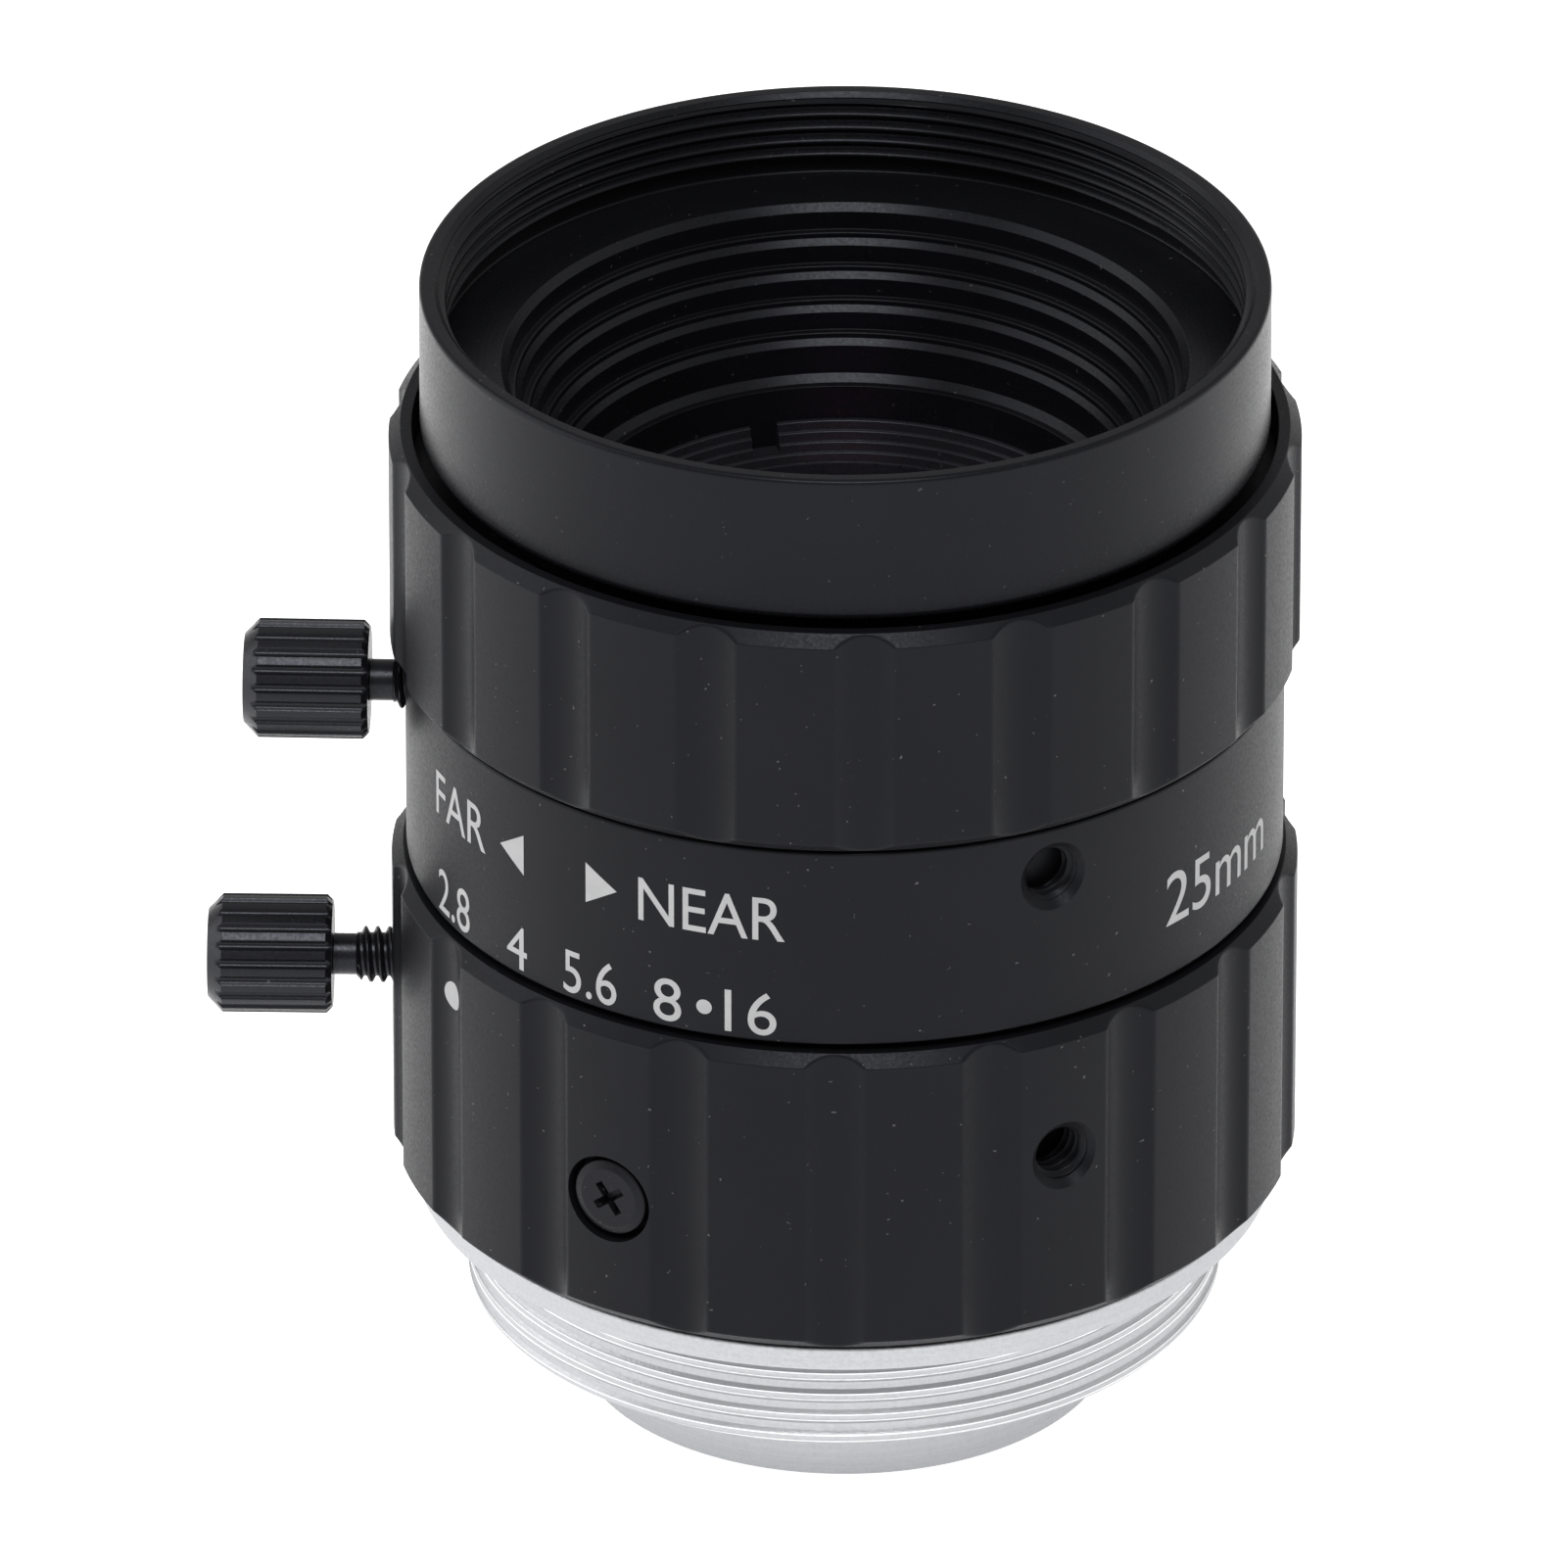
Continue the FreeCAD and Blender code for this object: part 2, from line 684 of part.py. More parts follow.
def lock_screw(label, seat_r, head_base_r, azimuth, height):
    # A knurled thumb screw whose tip stops a running gap away from what it clamps.
    tip = seat_r + d.running
    neck_end = head_base_r - tip
    neck_start = neck_end - d.screw_neck_len
    head_end = neck_end + d.knob_len
    outline = [
        (ZERO, ZERO),
        (d.screw_r - d.edge, ZERO),
        (d.screw_r, d.edge),
        (d.screw_r, neck_start),
        (d.screw_neck_r, neck_start),
        (d.screw_neck_r, neck_end),
        (d.knob_r - d.knob_back_chamfer, neck_end),
        (d.knob_r, neck_end + d.knob_back_chamfer),
        (d.knob_r, head_end - d.knob_chamfer),
        (d.knob_r - d.knob_chamfer, head_end),
        (ZERO, head_end),
    ]
    body = turned(label, outline)
    pattern_of_grooves(body, d.knurl_r, d.knob_r + d.knurl_r / 4, ZERO, d.knurl_count)
    body.setExpression("Placement", radial(azimuth, tip, height))
    return body


def slotted_screw(label, profile, length, azimuth, start_r, height):
    place = radial(azimuth, start_r, height)
    blank = turned(label + " blank", profile)
    blank.setExpression("Placement", place)
    slot = box(label + " slot", d.tapped_r * 4, d.slot_w, d.slot_depth * 2, place, length - d.slot_depth)
    return cut(label, blank, slot)


def guide_screw():
    length = d.neck_r - d.running - d.guide_tip_r
    shoulder = d.guide_shoulder_r - d.guide_tip_r
    profile = [
        (ZERO, ZERO),
        (d.guide_dog_r, ZERO),
        (d.guide_dog_r, shoulder),
        (d.tapped_r, shoulder),
        (d.tapped_r, length),
        (ZERO, length),
    ]
    return slotted_screw("guide_screw", profile, length, d.guide_azimuth, d.guide_tip_r, d.guide_z)


def mount_set_screws():
    length = d.neck_r - d.running - d.spigot_r
    profile = [(ZERO, ZERO), (d.grub_r, ZERO), (d.grub_r, length), (ZERO, length)]
    screws = [
        slotted_screw(f"grub screw {index}", profile, length,
                      d.grub_azimuth + 360 / d.grub_count * index, d.spigot_r, d.grub_z)
        for index in range(int(d.grub_count.number))
    ]
    group = doc.addObject("Part::Compound", "mount_set_screws")
    group.Label = "mount_set_screws"
    group.Links = screws
    return group


def front_barrel():
    thread_end = d.front_z - d.filter_depth - d.filter_len
    relief_r = d.rim_in_r + d.relief_depth
    shoulder = d.front_z - d.hood_drop
    seat = d.front_glass_z - sag(d.front_curve, d.front_glass_r)
    outline = [
        (d.joint_r, d.helicoid_base),
        (d.helicoid_r, d.helicoid_base),
        (d.helicoid_r, bezel_base),
        (d.bezel_r - d.bezel_edge, bezel_base),
        (d.bezel_r, bezel_base + d.bezel_edge),
        (d.bezel_r, d.front_z - d.bezel_edge),
        (d.bezel_r - d.bezel_edge, d.front_z),
        (d.rim_in_r, d.front_z),
        (d.filter_r, d.front_z - d.filter_depth),
        (d.filter_r, thread_end),
        (relief_r, thread_end),
        (relief_r, shoulder),
        (d.hood_r, shoulder),
        (d.hood_wall_r, shoulder - d.hood_chamfer),
    ]
    # The hood's anti-reflection steps: a wall, a fine lip near its foot, then a flat ledge.
    for step in range(int(d.hood_steps.number)):
        wall = d.hood_wall_r - d.hood_step_r * step
        lip = d.front_z - d.hood_edge_drop - d.hood_step_z * step
        outline += [
            (wall, lip),
            (wall - d.hood_lip_r, lip),
            (wall - d.hood_lip_r, lip - d.hood_lip_z),
            (wall - d.hood_step_r, lip - d.hood_lip_z),
        ]
    outline += [
        (d.hood_last_r, hood_floor_z),
        (d.cell_thread_r, hood_floor_z),
        (d.cell_thread_r, seat),
        (d.front_glass_r, seat),
        (d.front_glass_r, joint_top),
        (d.joint_r, joint_top),
    ]
    return turned("front_barrel", outline)


def lens_barrel():
    blank = turned("lens_barrel blank", [
        (d.rear_cell_r, d.block_base),
        (d.block_r - d.edge, d.block_base),
        (d.block_r, d.block_base + d.edge),
        (d.block_r, d.helicoid_base),
        (d.joint_r, d.helicoid_base),
        (d.joint_r, joint_top),
        (d.cell_r, joint_top),
        (d.cell_r, iris_floor),
        (d.rear_stop_r, iris_floor),
        (d.rear_stop_r, d.rear_flint_rim_z),
        (d.rear_doublet_r, d.rear_flint_rim_z),
        (d.rear_doublet_r, d.doublet_ring_seat),
        (d.doublet_ring_r, d.doublet_ring_seat),
        (d.doublet_ring_r, d.rear_cell_top),
        (d.rear_cell_r, d.rear_cell_top),
    ])
    # Room for the iris fork as it turns, and the window through which its arm comes out.
    sweep_from = d.drive_azimuth - fork_spread
    sweep = d.iris_turn + fork_spread * 2
    room_r = d.fork_in_r - d.fork_margin
    room_base = fork_base - d.fork_margin
    room = sector("fork room", room_r, d.block_r + 1, room_base, cover_base - room_base, sweep_from, sweep)
    window = sector("arm window", d.cell_r - 1, room_r + 0.5, cam_base - d.cam_gap,
                    cover_base - cam_base + d.cam_gap, sweep_from, sweep)
    # The guide screw's dog runs in this slot over the whole focus travel.
    slot_low = d.guide_z - d.draw_out - d.guide_dog_r - d.end_play
    slot_high = d.guide_z + d.draw_in + d.guide_dog_r + d.end_play
    slot_w = (d.guide_dog_r + d.running) * 2
    slot_depth = d.block_r - d.guide_tip_r + d.fork_margin
    slot = box("guide slot", slot_depth * 2, slot_w, slot_high - slot_low,
               upright(d.guide_azimuth - 90, d.block_r, 0), slot_low)
    return cut("lens_barrel", blank, room, window, slot)


def front_cell():
    crown_edge = d.crown_z - sag(d.crown_curve, d.doublet_r)
    return turned("front_cell", [
        (d.front_stop_r, cell_base),
        (d.cell_r, cell_base),
        (d.cell_r, cell_top - d.cell_step),
        (d.front_glass_r, cell_top - d.cell_step),
        (d.front_glass_r, cell_top),
        (d.front_glass_r - d.cell_step, cell_top),
        (d.doublet_r, crown_edge),
        (d.doublet_r, d.flint_rim_z),
        (d.front_stop_r, d.flint_rim_z),
    ])


def rear_cell():
    seat_z = d.rear_glass_z - sag(d.rear_front_curve, d.rear_seat_r)
    base = rear_cell_base
    ring_top = rear_back_z + sag(d.rear_back_curve, d.rear_ring_in_r)
    return turned("rear_cell", [
        (d.rear_ring_r, base),
        (d.rear_cell_r - d.edge, base),
        (d.rear_cell_r, base + d.edge),
        (d.rear_cell_r, d.rear_cell_top),
        (d.rear_seat_r, d.rear_cell_top),
        (d.rear_seat_r, seat_z),
        (d.rear_glass_r, seat_z),
        (d.rear_glass_r, ring_top - d.edge),
        (d.rear_ring_r, ring_top - d.edge),
    ])


def spanner_notches(label, base, height, azimuth, reach):
    return [
        box(f"{label} notch {index}", reach, d.spanner_w, height,
            upright(azimuth - 90 + 180 * index, reach - d.spanner_w, 0), base)
        for index in range(2)
    ]


def front_retaining_ring():
    base = d.front_glass_z - sag(d.front_curve, d.front_seat_r)
    ridge_r = (d.cell_thread_r - d.front_ring_wall - d.front_seat_r) / d.ridge_count
    outline = [(d.front_seat_r, base), (d.cell_thread_r, base), (d.cell_thread_r, d.front_ring_top)]
    for ridge in range(int(d.ridge_count.number)):
        radius = d.cell_thread_r - d.front_ring_wall - ridge_r * ridge
        height = d.front_ring_top - d.ridge_z * ridge
        outline.append((radius, height))
        outline.append((radius, height - d.ridge_z))
    outline.append((d.front_seat_r, d.front_ring_top - d.ridge_z * d.ridge_count))
    ring = turned("front_retaining_ring blank", outline)
    notches = spanner_notches("front ring", d.front_ring_top - d.spanner_depth, d.spanner_depth * 2,
                              d.spanner_azimuth, d.front_seat_r)
    return cut("front_retaining_ring", ring, *notches)


def rear_retaining_ring():
    top = rear_back_z + sag(d.rear_back_curve, d.rear_ring_in_r)
    thread_top = top - d.edge
    base = thread_top - d.rear_ring_len
    ring = turned("rear_retaining_ring blank", [
        (d.rear_ring_in_r, top),
        (d.rear_glass_r, top),
        (d.rear_glass_r, thread_top),
        (d.rear_ring_r, thread_top),
        (d.rear_ring_r, base),
        (d.rear_glass_r, base),
        (d.rear_ring_in_r, top - d.sleeve_wall),
    ])
    notches = spanner_notches("rear ring", base - d.spanner_depth, d.spanner_depth * 2,
                              d.spanner_azimuth, d.rear_ring_in_r)
    return cut("rear_retaining_ring", ring, *notches)


def rear_doublet_ring():
    top = d.rear_crown_z + sag(d.rear_crown_curve, d.doublet_ring_in_r)
    nose_r = d.rear_doublet_r - d.running
    return turned("rear_doublet_ring", [
        (d.doublet_ring_in_r, d.rear_cell_top),
        (d.doublet_ring_r, d.rear_cell_top),
        (d.doublet_ring_r, d.doublet_ring_seat),
        (nose_r, d.doublet_ring_seat),
        (nose_r, top),
        (d.doublet_ring_in_r, top),
    ])


def lens(label, edge_r, low, high, front=None, back=None):
    # A glass element. A face is (curve, pole height, "bulging" or "hollow"), or flat without one.
    glass = cylinder(label + " edge", edge_r, high - low, upright(0, 0, low))
    steps = []
    if front:
        steps.append((front, -1 if front[2] == "bulging" else 1, "front"))
    if back:
        steps.append((back, 1 if back[2] == "bulging" else -1, "back"))
    for number, ((curve, pole, form), side, word) in enumerate(steps):
        name = label if number == len(steps) - 1 else label + " half"
        sphere = ball(f"{label} {word}", curve, pole + curve * side)
        glass = common(name, glass, sphere) if form == "bulging" else cut(name, glass, sphere)
    return glass


def front_element():
    return lens("front_element", d.front_glass_r, cell_top, d.front_glass_z + d.edge,
                (d.front_curve, d.front_glass_z, "bulging"), (d.front_back_curve, front_back_z, "hollow"))


def front_doublet_crown():
    return lens("front_doublet_crown", d.doublet_r, d.cement_z, d.crown_z + d.edge,
                (d.crown_curve, d.crown_z, "bulging"))


def front_doublet_flint():
    return lens("front_doublet_flint", d.doublet_r, d.flint_rim_z, d.cement_z,
                None, (d.flint_curve, d.flint_z, "hollow"))


def rear_doublet_flint():
    return lens("rear_doublet_flint", d.rear_doublet_r, d.rear_cement_z, d.rear_flint_rim_z,
                (d.rear_flint_curve, d.rear_flint_z, "hollow"))


def rear_doublet_crown():
    return lens("rear_doublet_crown", d.rear_doublet_r, d.rear_crown_z - d.edge, d.rear_cement_z,
                None, (d.rear_crown_curve, d.rear_crown_z, "bulging"))


def rear_element():
    return lens("rear_element", d.rear_glass_r, rear_back_z - d.edge, d.rear_glass_z + d.edge,
                (d.rear_front_curve, d.rear_glass_z, "bulging"), (d.rear_back_curve, rear_back_z, "bulging"))


def blade_turn_of(index):
    return 360 / d.blade_count * index


def iris_case():
    blank = turned("iris_case blank", [
        (d.iris_hole_r, iris_floor),
        (d.cell_r, iris_floor),
        (d.cell_r, cover_base),
        (d.case_in_r, cover_base),
        (d.case_in_r, iris_floor + d.iris_floor_t),
        (d.iris_hole_r, iris_floor + d.iris_floor_t),
    ])
    pivots = [
        cylinder(f"pivot hole {index}", d.blade_pin_r + d.running, d.iris_floor_t * 3,
                 upright(blade_turn_of(index), d.pivot_r, iris_floor - d.iris_floor_t))
        for index in range(int(d.blade_count.number))
    ]
    window = sector("case window", d.case_in_r - 1, d.cell_r + 1, cam_base - d.cam_gap, d.cam_t * 3,
                    d.drive_azimuth - fork_spread, d.iris_turn + fork_spread * 2)
    return cut("iris_case", blank, window, *pivots)


def iris_cover():
    return turned("iris_cover", [
        (d.cover_in_r, cover_base),
        (d.cell_r, cover_base),
        (d.cell_r, cell_base),
        (d.cover_in_r, cell_base),
    ])


def iris_blade(number):
    # A thin crescent in a layer of its own, with a pivot pin below and a drive pin above.
    index = number - 1
    name = f"iris_blade_{number}"
    turn = blade_turn_of(index)
    base = blade_base + d.blade_pitch * index
    flat = upright(turn - d.root_back, 0, base)
    middle_r = (d.wing_r + d.stop_r) / 2
    wing = cylinder(name + " wing", d.wing_r, d.blade_t, flat, d.wing_span)
    root = cylinder(name + " root", d.root_r, d.blade_t, flat, d.root_span)
    tip = cylinder(name + " tip", (d.wing_r - d.stop_r) / 2 - d.tip_step, d.blade_t,
                   upright(turn - d.root_back + d.wing_span, middle_r, base))
    hole = cylinder(name + " hole", d.stop_r, d.blade_t * 3, upright(0, 0, base - d.blade_t))
    leaf = cut(name + " leaf", fuse(name + " sheet", wing, root, tip), hole)
    pin_low = iris_floor + d.cam_gap
    pin_high = cam_top - d.cam_gap
    pivot = cylinder(name + " pivot", d.blade_pin_r, base + d.blade_t - pin_low,
                     upright(turn, d.pivot_r, pin_low))
    drive = cylinder(name + " drive", d.blade_pin_r, pin_high - base,
                     upright(turn + d.drive_angle, d.pivot_r, base))
    return fuse(name, leaf, pivot, drive)


def cam_slot_path(samples):
    # Where the drive pin lies on the cam ring as the ring turns and the blade swings about its pivot.
    radius = d.pivot_r.number
    start = math.radians(d.drive_angle.number)
    points = []
    for sample in range(samples + 1):
        share = sample / samples
        swing = math.radians(d.blade_turn.number) * share
        turn = math.radians(d.iris_turn.number) * share
        across = radius * math.cos(start) - radius
        along = radius * math.sin(start)
        x = radius + across * math.cos(swing) - along * math.sin(swing)
        y = across * math.sin(swing) + along * math.cos(swing)
        points.append(FreeCAD.Vector(x * math.cos(turn) + y * math.sin(turn),
                                     y * math.cos(turn) - x * math.sin(turn), 0))
    return points


def cam_slots():
    # Six curved slots, each a band of even width round the path of its blade's drive pin.
    half = d.blade_pin_r.number + d.running.number
    path = cam_slot_path(24)
    up = FreeCAD.Vector(0, 0, 1)
    normals = []
    for index in range(len(path)):
        ahead = path[min(index + 1, len(path) - 1)]
        behind = path[max(index - 1, 0)]
        normals.append(up.cross(ahead - behind).normalize() * half)
    left = Part.BSplineCurve()
    left.interpolate([point + normal for point, normal in zip(path, normals)])
    right = Part.BSplineCurve()
    right.interpolate([point - normal for point, normal in zip(path, normals)][::-1])
    first, last = path[0], path[-1]
    first_out = up.cross(normals[0])
    last_out = -up.cross(normals[-1])
    far_end = Part.Arc(last + normals[-1], last + last_out, last - normals[-1])
    near_end = Part.Arc(first - normals[0], first + first_out, first + normals[0])
    wire = Part.Wire([left.toShape(), far_end.toShape(), right.toShape(), near_end.toShape()])
    slot = Part.Face(wire).extrude(up * d.cam_t.number * 3)
    slot.translate(up * (cam_base.number - d.cam_t.number))
    copies = []
    for index in range(int(d.blade_count.number)):
        copy = slot.copy()
        copy.rotate(FreeCAD.Vector(), up, blade_turn_of(index).number)
        copies.append(copy)
    feature = doc.addObject("Part::Feature", "cam_slots")
    feature.Shape = Part.makeCompound(copies)
    return feature


def iris_cam_ring():
    outer = d.case_in_r - d.cam_fit
    disc = turned("cam disc", [
        (d.cam_hole_r, cam_base),
        (outer, cam_base),
        (outer, cam_top),
        (d.cam_hole_r, cam_top),
    ])
    turn = d.drive_azimuth - 90
    reach = d.fork_out_r - outer + d.iris_wall
    arm = box("fork arm", reach, d.fork_w, d.cam_t, upright(turn, d.fork_out_r - reach / 2, 0), cam_base)
    tine_middle = d.fork_in_r + d.fork_t / 2
    plate = box("fork plate", d.fork_t, d.fork_w, cam_top - fork_base, upright(turn, tine_middle, 0), fork_base)
    gap = box("fork gap", d.fork_t * 3, (d.drive_pin_r + d.running) * 2, fork_slot_top - fork_base + 1,
              upright(turn, tine_middle, 0), fork_base - 1)
    return cut("iris_cam_ring", fuse("cam with fork", disc, arm, plate), cam_slots(), gap)


nodes = [
    mount_ring(),
    rear_barrel(),
    fixed_barrel(),
    mount_set_screws(),
    guide_screw(),
    lock_screw("focus_lock_screw", d.skirt_r, d.focus_lock_reach, d.focus_lock_azimuth, d.focus_lock_z),
    focus_ring(),
    focus_retainer(),
    iris_ring(),
    iris_drive_screw(),
    lock_screw("iris_lock_screw", d.neck_r, d.iris_lock_reach, d.iris_lock_azimuth, d.iris_lock_z),
    front_barrel(),
    lens_barrel(),
    front_cell(),
    rear_cell(),
    front_retaining_ring(),
    rear_retaining_ring(),
    rear_doublet_ring(),
    front_element(),
    front_doublet_crown(),
    front_doublet_flint(),
    rear_doublet_flint(),
    rear_doublet_crown(),
    rear_element(),
    iris_case(),
    iris_cover(),
    iris_cam_ring(),
]
nodes += [iris_blade(number) for number in range(1, int(d.blade_count.number) + 1)]

doc.recompute()
for item in doc.Objects:
    if "Invalid" in item.State or "Error" in item.State:
        raise RuntimeError(f"{item.Label} failed: {item.State}")
for node in nodes:
    if node.Shape.isNull() or not node.Shape.isValid() or not node.Shape.Solids:
        raise RuntimeError(f"{node.Label} has no valid solid")
os.makedirs("parts", exist_ok=True)
for node in nodes:
    node.Shape.exportStep(f"parts/{node.Label}.step")
    print(node.Label, round(node.Shape.Volume, 2), len(node.Shape.Solids), "solids")
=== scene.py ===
import math

import bmesh
import bpy
from mathutils import Matrix, Vector


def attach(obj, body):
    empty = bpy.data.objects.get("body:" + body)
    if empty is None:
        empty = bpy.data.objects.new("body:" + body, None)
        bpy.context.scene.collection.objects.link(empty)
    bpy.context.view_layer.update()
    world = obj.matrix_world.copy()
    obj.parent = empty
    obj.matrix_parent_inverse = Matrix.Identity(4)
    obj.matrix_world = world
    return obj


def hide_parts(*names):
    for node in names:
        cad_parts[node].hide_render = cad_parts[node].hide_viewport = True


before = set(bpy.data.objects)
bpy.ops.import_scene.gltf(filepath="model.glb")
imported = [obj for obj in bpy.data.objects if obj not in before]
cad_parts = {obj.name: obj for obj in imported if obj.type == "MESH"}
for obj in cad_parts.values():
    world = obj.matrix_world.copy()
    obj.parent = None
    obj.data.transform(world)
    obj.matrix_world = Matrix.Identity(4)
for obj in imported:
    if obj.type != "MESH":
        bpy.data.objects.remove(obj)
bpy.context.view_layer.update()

# A 25 mm C-mount lens. Lengths below are millimetres and azimuths are degrees from the front, -Y,
# towards +X. Each mesh is made in millimetres and scaled to metres when it is finished.
mm = 0.001
fullTurn = math.tau
weldDistance = 1e-4
cutTolerance = 1e-5
arcsPerTurn = 12
print("frame loaded")


# Shaping helpers.

def toRadians(azimuth):
    return math.radians(azimuth - 90)


def radialPlace(azimuth, radius, height, twist=0):
    # turns local +Z to point outwards at an azimuth
    outwards = Matrix.Rotation(toRadians(azimuth), 4, "Z") @ Matrix.Translation((radius, 0, height))
    return outwards @ Matrix.Rotation(math.pi / 2, 4, "Y") @ Matrix.Rotation(math.radians(twist), 4, "Z")


def roundedLine(corners, arcSteps=4, hold=0.02, longest=0.45):
    # corners are (radius, height) or (radius, height, fillet)
    line = []
    for index, corner in enumerate(corners):
        here = Vector(corner[:2])
        fillet = corner[2] if len(corner) > 2 else 0
        if not fillet or index in (0, len(corners) - 1):
            line.append(here)
            continue
        back = Vector(corners[index - 1][:2]) - here
        ahead = Vector(corners[index + 1][:2]) - here
        half = back.angle(ahead) / 2
        reach = min(fillet / math.tan(half), longest * back.length, longest * ahead.length)
        start = here + back.normalized() * reach
        end = here + ahead.normalized() * reach
        if back.length > (reach + hold) * 2:
            line.append(start + back.normalized() * hold)
        for step in range(arcSteps + 1):
            share = step / arcSteps
            line.append(start.lerp(here, share).lerp(here.lerp(end, share), share))
        if ahead.length > (reach + hold) * 2:
            line.append(end + ahead.normalized() * hold)
    return line


def spinLine(bm, line, steps, closed=False, rise=0):
    # spins a line through one arc of the turn, then repeats that arc round the axis
    part = bmesh.new()
    verts = [part.verts.new((point[0], 0, point[1])) for point in line]
    pairs = list(zip(verts, verts[1:]))
    if closed:
        pairs.append((verts[-1], verts[0]))
    edges = [part.edges.new(pair) for pair in pairs]
    bmesh.ops.spin(part, geom=verts + edges, cent=(0, 0, 0), axis=(0, 0, 1), dvec=(0, 0, rise / steps),
                   angle=fullTurn / arcsPerTurn, steps=steps // arcsPerTurn, use_merge=False,
                   use_normal_flip=False, use_duplicate=False)
    arc = bpy.data.meshes.new("arc")
    part.to_mesh(arc)
    part.free()
    turnOn = Matrix.Rotation(fullTurn / arcsPerTurn, 4, "Z")
    onwards = Matrix.Translation((0, 0, rise / arcsPerTurn)) @ turnOn
    for repeat in range(arcsPerTurn):
        bm.from_mesh(arc)
        arc.transform(onwards)
    bpy.data.meshes.remove(arc)
    bmesh.ops.remove_doubles(bm, verts=bm.verts, dist=weldDistance)
    bmesh.ops.recalc_face_normals(bm, faces=bm.faces)


def turned(corners, steps=360, closed=True):
    bm = bmesh.new()
    spinLine(bm, roundedLine(corners), steps, closed)
    return bm


def addMesh(bm, other, place=None):
    # copies one bmesh into another
    holder = bpy.data.meshes.new("holder")
    if place is not None:
        bmesh.ops.transform(other, matrix=place, verts=other.verts)
    other.to_mesh(holder)
    other.free()
    bm.from_mesh(holder)
    bpy.data.meshes.remove(holder)


plainThread = {
    "bottomLead": 0.02, "topLead": 0.02, "leadSlope": 1, "shift": 0, "roundness": 1, "burr": 0,
    "burrWidth": 0, "flankCuts": 6,
}


def threadSleeve(thread):
    # a closed sleeve with a helical thread on one wall and a plain wall buried in its carrier
    pitch = thread["pitch"]
    crest = thread["crestFlat"] / 2
    root = pitch / 2 - thread["rootFlat"] / 2
    cuts = thread["flankCuts"]
    spareTurns = 2
    burrSide = thread["burrWidth"]
    stations = [-crest, burrSide - crest, crest - burrSide, crest] if burrSide else [-crest, crest]
    stations += [crest + (root - crest) * cut / cuts for cut in range(1, cuts + 1)]
    stations += [pitch - root]
    stations += [pitch - root + (root - crest) * cut / cuts for cut in range(1, cuts)]
    line = []
    turns = math.ceil((thread["top"] - thread["bottom"]) / pitch) + spareTurns + 1
    for turn in range(turns):
        start = thread["bottom"] + thread["shift"] + (turn - spareTurns) * pitch
        for station in stations:
            away = min(abs(station), abs(pitch - station))
            share = min(max((away - crest) / (root - crest), 0), 1)
            soft = share * share * (3 - share * 2)
            share += (soft - share) * thread["roundness"]
            radius = thread["crestR"] + (thread["rootR"] - thread["crestR"]) * share
            if abs(away - crest) < weldDistance:
                radius += thread["burr"]
            line.append((radius, start + station))
    bm = bmesh.new()
    spinLine(bm, line, thread["steps"], rise=pitch)
    for height, sign in ((thread["bottom"], -1), (thread["top"], 1)):
        bmesh.ops.bisect_plane(bm, geom=bm.verts[:] + bm.edges[:] + bm.faces[:], dist=weldDistance,
                               plane_co=(0, 0, height), plane_no=(0, 0, sign), clear_outer=True)
    outside = thread["crestR"] > thread["rootR"]
    for vert in bm.verts:
        radius = math.hypot(vert.co.x, vert.co.y)
        room = min(vert.co.z - thread["bottom"] + thread["bottomLead"],
                   thread["top"] - vert.co.z + thread["topLead"])
        room *= thread["leadSlope"]
        limit = thread["rootR"] + room if outside else thread["rootR"] - room
        wanted = min(radius, limit) if outside else max(radius, limit)
        vert.co.x *= wanted / radius
        vert.co.y *= wanted / radius
    buried = thread["buriedR"]
    spinLine(bm, [(buried, thread["bottom"]), (buried, thread["top"])], thread["steps"])
    nearEnd = weldDistance * 5
    for height in (thread["bottom"], thread["top"]):
        rim = [edge for edge in bm.edges if edge.is_boundary
               and all(abs(vert.co.z - height) < nearEnd for vert in edge.verts)]
        bmesh.ops.triangle_fill(bm, use_beauty=True, use_dissolve=False, edges=rim)
    bmesh.ops.recalc_face_normals(bm, faces=bm.faces)
    return bm


def grooveFloor(grooves, angle):
    # radius of a round groove's floor at an angle from the groove's middle, or None beside it
    half = grooves["width"] / 2
    depth = grooves["depth"]
    cutter = (half * half + depth * depth) / (2 * depth)
    centre = grooves["outerR"] - depth + cutter
    inside = cutter ** 2 - (centre * math.sin(angle)) ** 2
    if inside <= 0:
        return None
    return centre * math.cos(angle) - math.sqrt(inside)


def cutGrooves(bm, grooves):
    # presses round grooves, evenly spaced, into everything outside the groove's floor
    spacing = fullTurn / grooves["count"]
    phase = toRadians(grooves["phase"])
    soft = grooves["soft"]
    deepest = grooves["outerR"] - grooves["depth"] - soft
    for vert in bm.verts:
        radius = math.hypot(vert.co.x, vert.co.y)
        if radius < deepest or not grooves["low"] <= vert.co.z <= grooves["high"]:
            continue
        angle = math.atan2(vert.co.y, vert.co.x) - phase
        floor = grooveFloor(grooves, abs((angle + spacing / 2) % spacing - spacing / 2))
        if floor is None:
            continue
        nearest = min(radius, floor)
        wanted = nearest - soft * math.log(math.exp((nearest - radius) / soft)
                                           + math.exp((nearest - floor) / soft))
        vert.co.x *= wanted / radius
        vert.co.y *= wanted / radius


